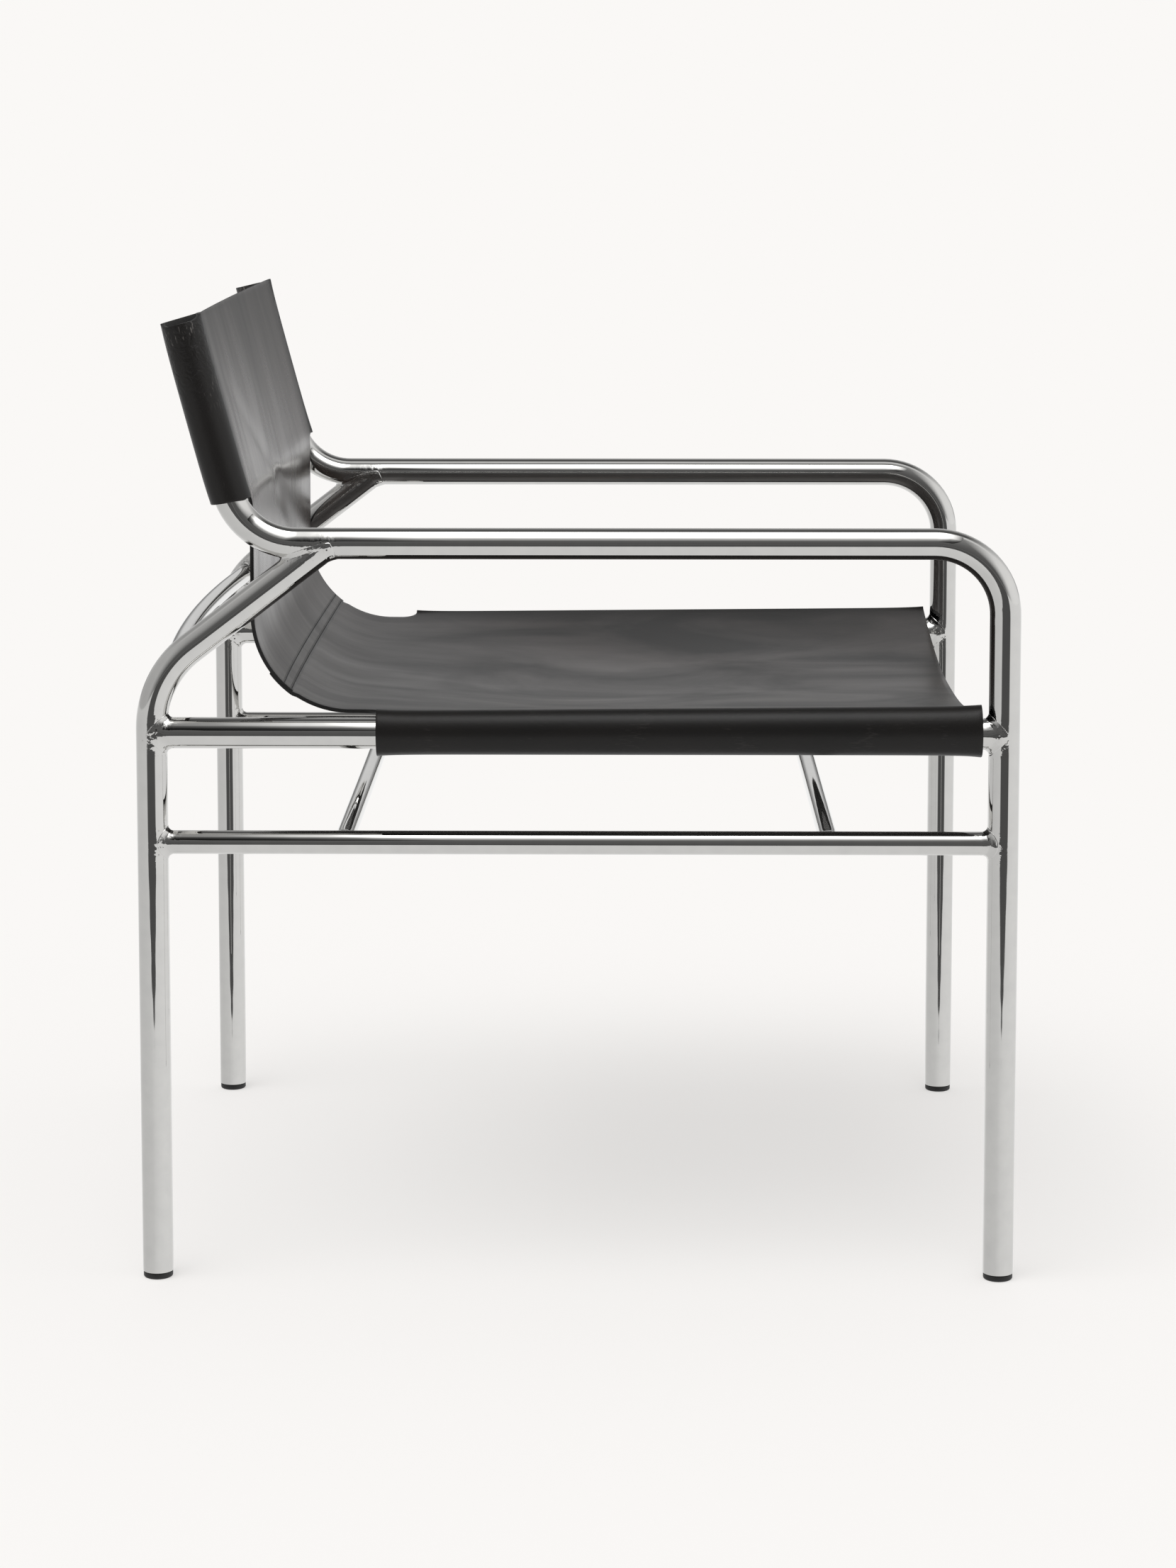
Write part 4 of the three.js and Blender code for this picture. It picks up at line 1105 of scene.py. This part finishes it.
class ARMCHAIR_OT_feet_and_plugs(bpy.types.Operator):
    """Makes the plastic feet under the legs and the plugs in the uprights."""

    bl_idname = "armchair.feet_and_plugs"
    bl_label = "Feet and plugs"

    def execute(self, context):
        sizes = context.scene.armchair_frame
        plastic = matt_plastic()
        radius, bore = sizes.tube / 2, sizes.tube / 2 - sizes.wall - sizes.gap
        tip = bore - STEM_TAPER
        # a foot, from the floor up: a round pad, a step in to the bore, and the stem
        pad, top = radius - PAD_INSET, sizes.foot
        foot = [
            (0, 0),
            (pad * PAD_FACE_SHARE, 0),
            *rounded(pad - PAD_EDGE, PAD_EDGE, PAD_EDGE, -90),
            *rounded(pad - PAD_LIP, top - PAD_LIP, PAD_LIP, 0, 4),
            (bore, top),
            (bore, top + FOOT_STRAIGHT),
            (tip, top + FOOT_STEM),
            (0, top + FOOT_STEM),
        ]
        # a plug, from inside the tube out: the stem, a rim over the wall, and a low crown
        rim, seat = radius - RIM_INSET, sizes.gap
        plug = [
            (0, -PLUG_STEM),
            (tip, -PLUG_STEM),
            (bore, -PLUG_STRAIGHT),
            (bore, seat),
            *rounded(rim - RIM_EDGE, seat + RIM_HEIGHT, RIM_EDGE, 0, 4),
            (bore - CROWN_INSET, seat + CROWN_FOOT),
            (bore * CROWN_SHARE, seat + CROWN_TOP),
            (0, seat + CROWN_TOP),
        ]

        def mould(name, node_name, profile, origin, axis):
            points, faces = lathe(profile, origin, axis)
            new_piece(name, points, faces, [plastic], node_name)

        for name, side in SIDES:
            across = side * sizes.spacing / 2
            for leg, forward in (("rear", 0.0), ("front", sizes.legs)):
                foot_name = f"foot_{leg}_{name}"
                spot = place(sizes, forward, 0, across)
                mould(f"pad_{foot_name}", foot_name, foot, spot, Z_AXIS)
            path = frame_paths(sizes, across)["front"]
            end, axis = path.sample(np.array([path.total]))
            mould(f"cap_plug_{name}", f"upright_plug_{name}", plug, end[0], axis[0])
        return {"FINISHED"}


class ARMCHAIR_OT_stitching(bpy.types.Operator):
    """Sews the lap seam and the four hems."""

    bl_idname = "armchair.stitching"
    bl_label = "Stitching"

    def execute(self, context):
        sling = Sling(context.scene)
        s = sling.sizes
        thread = waxed_thread()
        end = sling.half - s.free_edge - s.leather
        across = np.linspace(-end, end, SEAM_MARKS)
        rows = {}
        for name, offset in (("upper", -s.rows / 2), ("lower", s.rows / 2)):
            distance = np.full_like(across, sling.seam + offset)
            lift = sling.give(across, distance)
            rows[f"seam_thread_{name}"] = (across, distance, lift, s.thread)
        spans = {"back": (0.0, sling.back_sleeve), "seat": (sling.seat_start, sling.total)}
        for part, (start, stop) in spans.items():
            distance = np.linspace(start + s.leather, stop - s.leather, HEM_ROW_MARKS)
            for name, side in SIDES:
                at = np.full_like(distance, side * (sling.half - s.hem + s.hem_seam / 2))
                # it shows on the flap, which faces away from the sitter
                row = (at, distance, np.full_like(at, sling.flap), -s.thread)
                rows[f"{part}_hem_thread_{name}"] = row
        for name, row in rows.items():
            points, faces = stitched_row(sling, *row, s.stitch)
            new_piece(f"stitches_{name}", points, faces, [thread], name)
        return {"FINISHED"}


class ARMCHAIR_OT_back_sling(bpy.types.Operator):
    """Hangs the back piece, with its sleeves round the uprights."""

    bl_idname = "armchair.back_sling"
    bl_label = "Back sling"

    def execute(self, context):
        sling = Sling(context.scene)
        rows = even_rows(0, sling.lap_end, sling.corner_rows(sling.back_sleeve, 1))
        cut = Cut(
            part="back",
            rows=rows,
            beyond=rows - sling.back_sleeve,
            depth=lambda distance: np.full_like(distance, sling.back_depth),
            lift=np.zeros_like,
            scroll=sling.sizes.scroll,
            whole=sling.lap_start,
            thin=sling.lap_end,
            held="hung",
            tubes="front_tube",
            threads=[f"back_hem_thread_{name}" for name, _ in SIDES]
            + ["seam_thread_upper", "seam_thread_lower"],
        )
        hang_cut(sling, cut)
        return {"FINISHED"}


class ARMCHAIR_OT_seat_sling(bpy.types.Operator):
    """Hangs the seat piece, with its sleeves round the seat rails."""

    bl_idname = "armchair.seat_sling"
    bl_label = "Seat sling"

    def execute(self, context):
        sling = Sling(context.scene)
        s = sling.sizes
        dive = sling.lap_end + np.linspace(0, 1, RAMP_MARKS) * s.ramp
        extra = np.concatenate([sling.corner_rows(sling.seat_start, -1), dive])
        rows = even_rows(sling.lap_start, sling.total, extra)

        def lift(distance):
            """Under the lap it lies against the skived back piece, then rises to the profile."""
            back = s.leather * sling.substance(distance, sling.lap_start, sling.lap_end)
            risen = smooth_step(distance, sling.lap_end, sling.lap_end + s.ramp)
            return -(back + LAP_GAP) * (1 - risen)

        cut = Cut(
            part="seat",
            rows=rows,
            beyond=sling.seat_start - rows,
            depth=sling.seat_depth,
            lift=lift,
            scroll=0.0,
            whole=sling.lap_end,
            thin=sling.lap_start,
            held="stretched",
            tubes="seat_rail",
            threads=[f"seat_hem_thread_{name}" for name, _ in SIDES],
        )
        hang_cut(sling, cut)
        return {"FINISHED"}


# The studio

# Light that metal and leather mirror. OVERHEAD goes by the angle in degrees from level on the
# camera's side (0) over the top (90), or under the floor (-90), to level on the far side.
OVERHEAD = [
    (-180, 0.22), (-179.3, 0.35), (-178.2, 0.8), (-176, 1.0), (-150, 0.88), (-20, 0.76),
    (-10, 0.74), (-8, 0.1), (8, 0.11), (30, 0.15), (80, 0.3), (93, 0.75), (102, 0.75),
    (106, 0.1), (128, 0.1), (140, 0.3), (158, 0.5), (168, 0.72), (172, 0.7), (176, 0.3),
    (180, 0.22),
]
# WALLS and GROUND go from the chair's front (-1) to its rear (1).
WALLS = [(-1, 0.95), (-0.5, 0.8), (0.5, 0.55), (1, 0.5)]
GROUND = [(-1, 0.88), (-0.2, 0.82), (0.1, 0.78), (0.4, 0.72), (1, 0.68)]
# The wedge: how much it widens for each unit of rise, its half width at the horizon if nothing
# capped it, the cap, and its light
WEDGE_GROWTH, WEDGE_START, WEDGE_MOST, WEDGE_LEVEL = 24.0, 6.16, 0.55, 0.09
DIFFUSE_LEVEL = 0.62  # the even light on all that isn't a mirror

# The softbox: its height and its edge over the chair. Its light goes from the camera's side to
# where it is at its brightest, and from the chair's front to its rear.
SOFTBOX_HEIGHT, SOFTBOX_INNER, SOFTBOX_STRENGTH = 1.6, -0.12, 4.0
SOFTBOX_ACROSS = [(-2.7, 0.02), (-2.2, 0.05), (-1.47, 0.13), (-1.03, 0.4), (-0.8, 1)]
SOFTBOX_ALONG = [
    (-0.8, 0.04), (-0.62, 0.4), (-0.5, 1), (0.2, 1), (0.3, 0.3), (0.42, 0.1), (0.6, 0.03),
]

FLOOR_REACH = 12.0
KEY_STRENGTH, KEY_ANGLE, KEY_TURN = 1.35, 50, (-14, -22, 0)  # the angles in degrees
CAMERA_PLACE = (-3.18, -0.0371, 0.9492)
CAMERA_DIP, CAMERA_TURN = 6.207, 0.567  # degrees down from level, and off square to the side
CAMERA_LENS, CAMERA_SHIFT = 84.0, -0.18


def studio_world(paper):
    """The studio. The camera sees the plain pale background, diffuse light is even, and metal
    and leather mirror a fixed studio by direction: dark on the camera's side, a dark ceiling
    with one open strip, pale walls, a dusky skyline behind the chair, and pale paper below with
    a dark wedge where it ends towards the camera."""
    world = bpy.data.worlds.new("pale_studio")
    bpy.context.scene.world = world
    world.use_nodes = True
    tree = world.node_tree
    tree.nodes.clear()
    way = node(tree, "TexCoord").outputs["Generated"]
    split = node(tree, "SeparateXYZ", {0: way}).outputs
    ahead = node(tree, "Math", {0: split["X"], 1: -1.0}, operation="MULTIPLY")
    aside = node(tree, "Math", {0: split["Y"]}, operation="ABSOLUTE")

    # the ceiling, and the walls and the ground with a soft horizon between them
    risen = node(tree, "Math", {0: split["Z"], 1: ahead}, operation="ARCTAN2")
    turned = node(tree, "MapRange", {0: risen, 1: -math.pi, 2: math.pi})
    overhead = node(tree, "ValToRGB", {0: turned}, stops=OVERHEAD)
    along = node(tree, "MapRange", {0: split["Y"], 1: -1.0})
    walls = node(tree, "ValToRGB", {0: along}, stops=WALLS)
    ground = node(tree, "ValToRGB", {0: along}, stops=GROUND)
    below = node(tree, "MapRange", {0: split["Z"], 1: 0.01, 2: -0.01})
    sides = node(tree, "Mix", {0: below, 6: walls, 7: ground}, data_type="RGBA")
    # they take over from the ceiling towards the sides, and the ground on the camera's side
    sideways = node(tree, "MapRange", {0: aside, 1: 0.45, 2: 0.8})
    upper = node(tree, "Mix", {0: sideways, 6: overhead, 7: sides}, data_type="RGBA")
    near = node(tree, "MapRange", {0: split["X"], 1: 0.6, 2: 0.3})
    near_paper = node(tree, "Math", {0: near, 1: below}, operation="MULTIPLY")
    room = node(tree, "Mix", {0: near_paper, 6: upper, 7: sides}, data_type="RGBA")

    # the wedge: its half width grows with the height of the ray over its tip
    reach = node(tree, "Math", {0: ahead, 1: 0.001}, operation="MAXIMUM")
    rise = node(tree, "Math", {0: split["Z"], 1: reach}, operation="DIVIDE")
    swing = node(tree, "Math", {0: aside, 1: reach}, operation="DIVIDE")
    growth = {0: rise, 1: WEDGE_GROWTH, 2: WEDGE_START}
    widening = node(tree, "Math", growth, operation="MULTIPLY_ADD")
    half_width = node(tree, "Math", {0: widening, 1: WEDGE_MOST}, operation="MINIMUM")
    inside = node(tree, "Math", {0: half_width, 1: swing}, operation="SUBTRACT")
    soft = node(tree, "MapRange", {0: inside, 1: -0.06, 2: 0.04})
    wedge = node(tree, "Math", {0: soft, 1: below}, operation="MULTIPLY")
    dark = (WEDGE_LEVEL, WEDGE_LEVEL, WEDGE_LEVEL, 1)
    mirrored = node(tree, "Mix", {0: wedge, 6: room, 7: dark}, data_type="RGBA")

    light = node(tree, "LightPath").outputs
    rays = {0: light["Is Glossy Ray"], 1: light["Is Transmission Ray"]}
    seen = node(tree, "Math", rays, operation="MAXIMUM")
    plain = node(tree, "Background", {"Color": (1, 1, 1, 1), "Strength": DIFFUSE_LEVEL})
    gloss = node(tree, "Background", {"Color": mirrored, "Strength": 1.0})
    pale = node(tree, "Background", {"Color": paper, "Strength": 1.0})
    first = node(tree, "MixShader", {0: seen, 1: plain, 2: gloss})
    last = node(tree, "MixShader", {0: light["Is Camera Ray"], 1: first, 2: pale})
    node(tree, "OutputWorld", {0: last})


@named_finish("matt_background_paper")
def paper_floor(tree, colours):
    """Matt background paper. It keeps the chair's soft shadow, and from 0.5 m out turns into
    the plain background. From below it is clear."""
    where = node(tree, "TexCoord").outputs["Object"]
    # the paper's tooth, drawn 2.5 mm coarse
    tooth = node(tree, "TexNoise", {"Vector": where, "Scale": 400.0, "Detail": 2.0})
    bump = node(tree, "Bump", {"Height": tooth, "Strength": 0.1, "Distance": 0.0002})
    matt = node(tree, "BsdfDiffuse", {"Color": colours.paper, "Normal": bump})
    glow = node(tree, "Emission", {"Color": colours.paper, "Strength": 1.0})
    clear = node(tree, "BsdfTransparent")
    reach = node(tree, "VectorMath", {0: where}, operation="LENGTH").outputs["Value"]
    fade = node(tree, "MapRange", {0: reach, 1: 0.5, 2: 1.9, 3: 0.58, 4: 1.0})
    camera_ray = node(tree, "LightPath").outputs["Is Camera Ray"]
    shown = node(tree, "Math", {0: camera_ray, 1: fade}, operation="MULTIPLY")
    front = node(tree, "MixShader", {0: shown, 1: matt, 2: glow})
    behind = node(tree, "NewGeometry").outputs["Backfacing"]
    node(tree, "OutputMaterial", {0: node(tree, "MixShader", {0: behind, 1: front, 2: clear})})


@named_finish("softbox_cloth")
def softbox_cloth(tree, colours):
    """The cloth of the softbox over the camera's side, which only metal and leather mirror:
    bright over the arms and fading out towards the camera and at its ends."""
    where = node(tree, "TexCoord").outputs["Object"]
    split = node(tree, "SeparateXYZ", {0: where}).outputs
    spread = {0: split["X"], 1: SOFTBOX_ACROSS[0][0], 2: SOFTBOX_ACROSS[-1][0]}
    glow = node(tree, "ValToRGB", {0: node(tree, "MapRange", spread)}, stops=SOFTBOX_ACROSS)
    spread = {0: split["Y"], 1: SOFTBOX_ALONG[0][0], 2: SOFTBOX_ALONG[-1][0]}
    ends = node(tree, "ValToRGB", {0: node(tree, "MapRange", spread)}, stops=SOFTBOX_ALONG)
    both = {0: 1.0, 6: glow, 7: ends}
    lit = node(tree, "Mix", both, data_type="RGBA", blend_type="MULTIPLY")
    cloth = node(tree, "Emission", {"Color": lit, "Strength": SOFTBOX_STRENGTH})
    node(tree, "OutputMaterial", {0: cloth})


def stage_plane(name, x_range, y_range, height, material):
    """A level rectangle of the stage."""
    (left, right), (front, rear) = x_range, y_range
    outline = ((left, front), (right, front), (right, rear), (left, rear))
    mesh = bpy.data.meshes.new(name)
    mesh.from_pydata([(x, y, height) for x, y in outline], [], [(0, 1, 2, 3)])
    mesh.materials.append(material)
    plane = bpy.data.objects.new(name, mesh)
    bpy.context.scene.collection.objects.link(plane)
    return plane


class ARMCHAIR_OT_stage(bpy.types.Operator):
    """Sets up the pale floor, the soft light and the camera."""

    bl_idname = "armchair.stage"
    bl_label = "Studio"

    def execute(self, context):
        scene = context.scene
        scene.view_settings.view_transform = "Standard"
        studio_world(scene.armchair_finishes.paper)
        reach = (-FLOOR_REACH, FLOOR_REACH)
        floor = stage_plane("paper_floor", reach, reach, 0, paper_floor())
        floor.visible_glossy = False

        across = (SOFTBOX_ACROSS[0][0], SOFTBOX_INNER)
        along = (SOFTBOX_ALONG[0][0], SOFTBOX_ALONG[-1][0])
        softbox = stage_plane("softbox", across, along, SOFTBOX_HEIGHT, softbox_cloth())
        softbox.visible_camera = False
        softbox.visible_diffuse = False
        softbox.visible_shadow = False

        key = bpy.data.lights.new("soft_key", "SUN")
        key.energy = KEY_STRENGTH
        key.angle = math.radians(KEY_ANGLE)
        lamp = bpy.data.objects.new("soft_key", key)
        lamp.rotation_euler = [math.radians(degrees) for degrees in KEY_TURN]
        lamp.visible_glossy = False
        scene.collection.objects.link(lamp)

        lens = bpy.data.cameras.new("photo_camera")
        lens.sensor_width = 36
        lens.lens = CAMERA_LENS
        lens.shift_y = CAMERA_SHIFT
        lens.clip_start, lens.clip_end = 0.1, 100
        camera = bpy.data.objects.new("photo_camera", lens)
        camera.location = CAMERA_PLACE
        camera.rotation_euler = (math.radians(90 - CAMERA_DIP), 0, math.radians(-90 + CAMERA_TURN))
        scene.collection.objects.link(camera)
        scene.camera = camera
        return {"FINISHED"}


# The add-on


class ARMCHAIR_PT_panel(bpy.types.Panel):
    """Lists the sizes, the finishes and the steps."""

    bl_idname = "ARMCHAIR_PT_panel"
    bl_label = "Sling armchair"
    bl_space_type = "VIEW_3D"
    bl_region_type = "UI"
    bl_category = "Armchair"

    def draw(self, context):
        for title, group in (
            ("Frame", context.scene.armchair_frame),
            ("Sling", context.scene.armchair_sling),
            ("Finishes", context.scene.armchair_finishes),
        ):
            box = self.layout.box()
            box.label(text=title)
            for key in group.bl_rna.properties.keys():
                if key not in ("rna_type", "name"):
                    box.prop(group, key)
        for operator in STEPS:
            self.layout.operator(operator.bl_idname)


STEPS = (
    ARMCHAIR_OT_side_frames,
    ARMCHAIR_OT_cross_members,
    ARMCHAIR_OT_feet_and_plugs,
    ARMCHAIR_OT_stitching,
    ARMCHAIR_OT_back_sling,
    ARMCHAIR_OT_seat_sling,
    ARMCHAIR_OT_stage,
)
CLASSES = (FrameSizes, SlingSizes, Finishes, *STEPS, ARMCHAIR_PT_panel)


def register():
    for cls in CLASSES:
        bpy.utils.register_class(cls)
    bpy.types.Scene.armchair_frame = bpy.props.PointerProperty(type=FrameSizes)
    bpy.types.Scene.armchair_sling = bpy.props.PointerProperty(type=SlingSizes)
    bpy.types.Scene.armchair_finishes = bpy.props.PointerProperty(type=Finishes)


def unregister():
    del bpy.types.Scene.armchair_finishes
    del bpy.types.Scene.armchair_sling
    del bpy.types.Scene.armchair_frame
    for cls in reversed(CLASSES):
        bpy.utils.unregister_class(cls)


def main():
    """Registers the add-on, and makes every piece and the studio."""
    register()
    bpy.ops.armchair.side_frames()
    bpy.ops.armchair.cross_members()
    bpy.ops.armchair.feet_and_plugs()
    bpy.ops.armchair.stitching()
    bpy.ops.armchair.back_sling()
    bpy.ops.armchair.seat_sling()
    bpy.ops.armchair.stage()


if __name__ == "__main__":
    main()
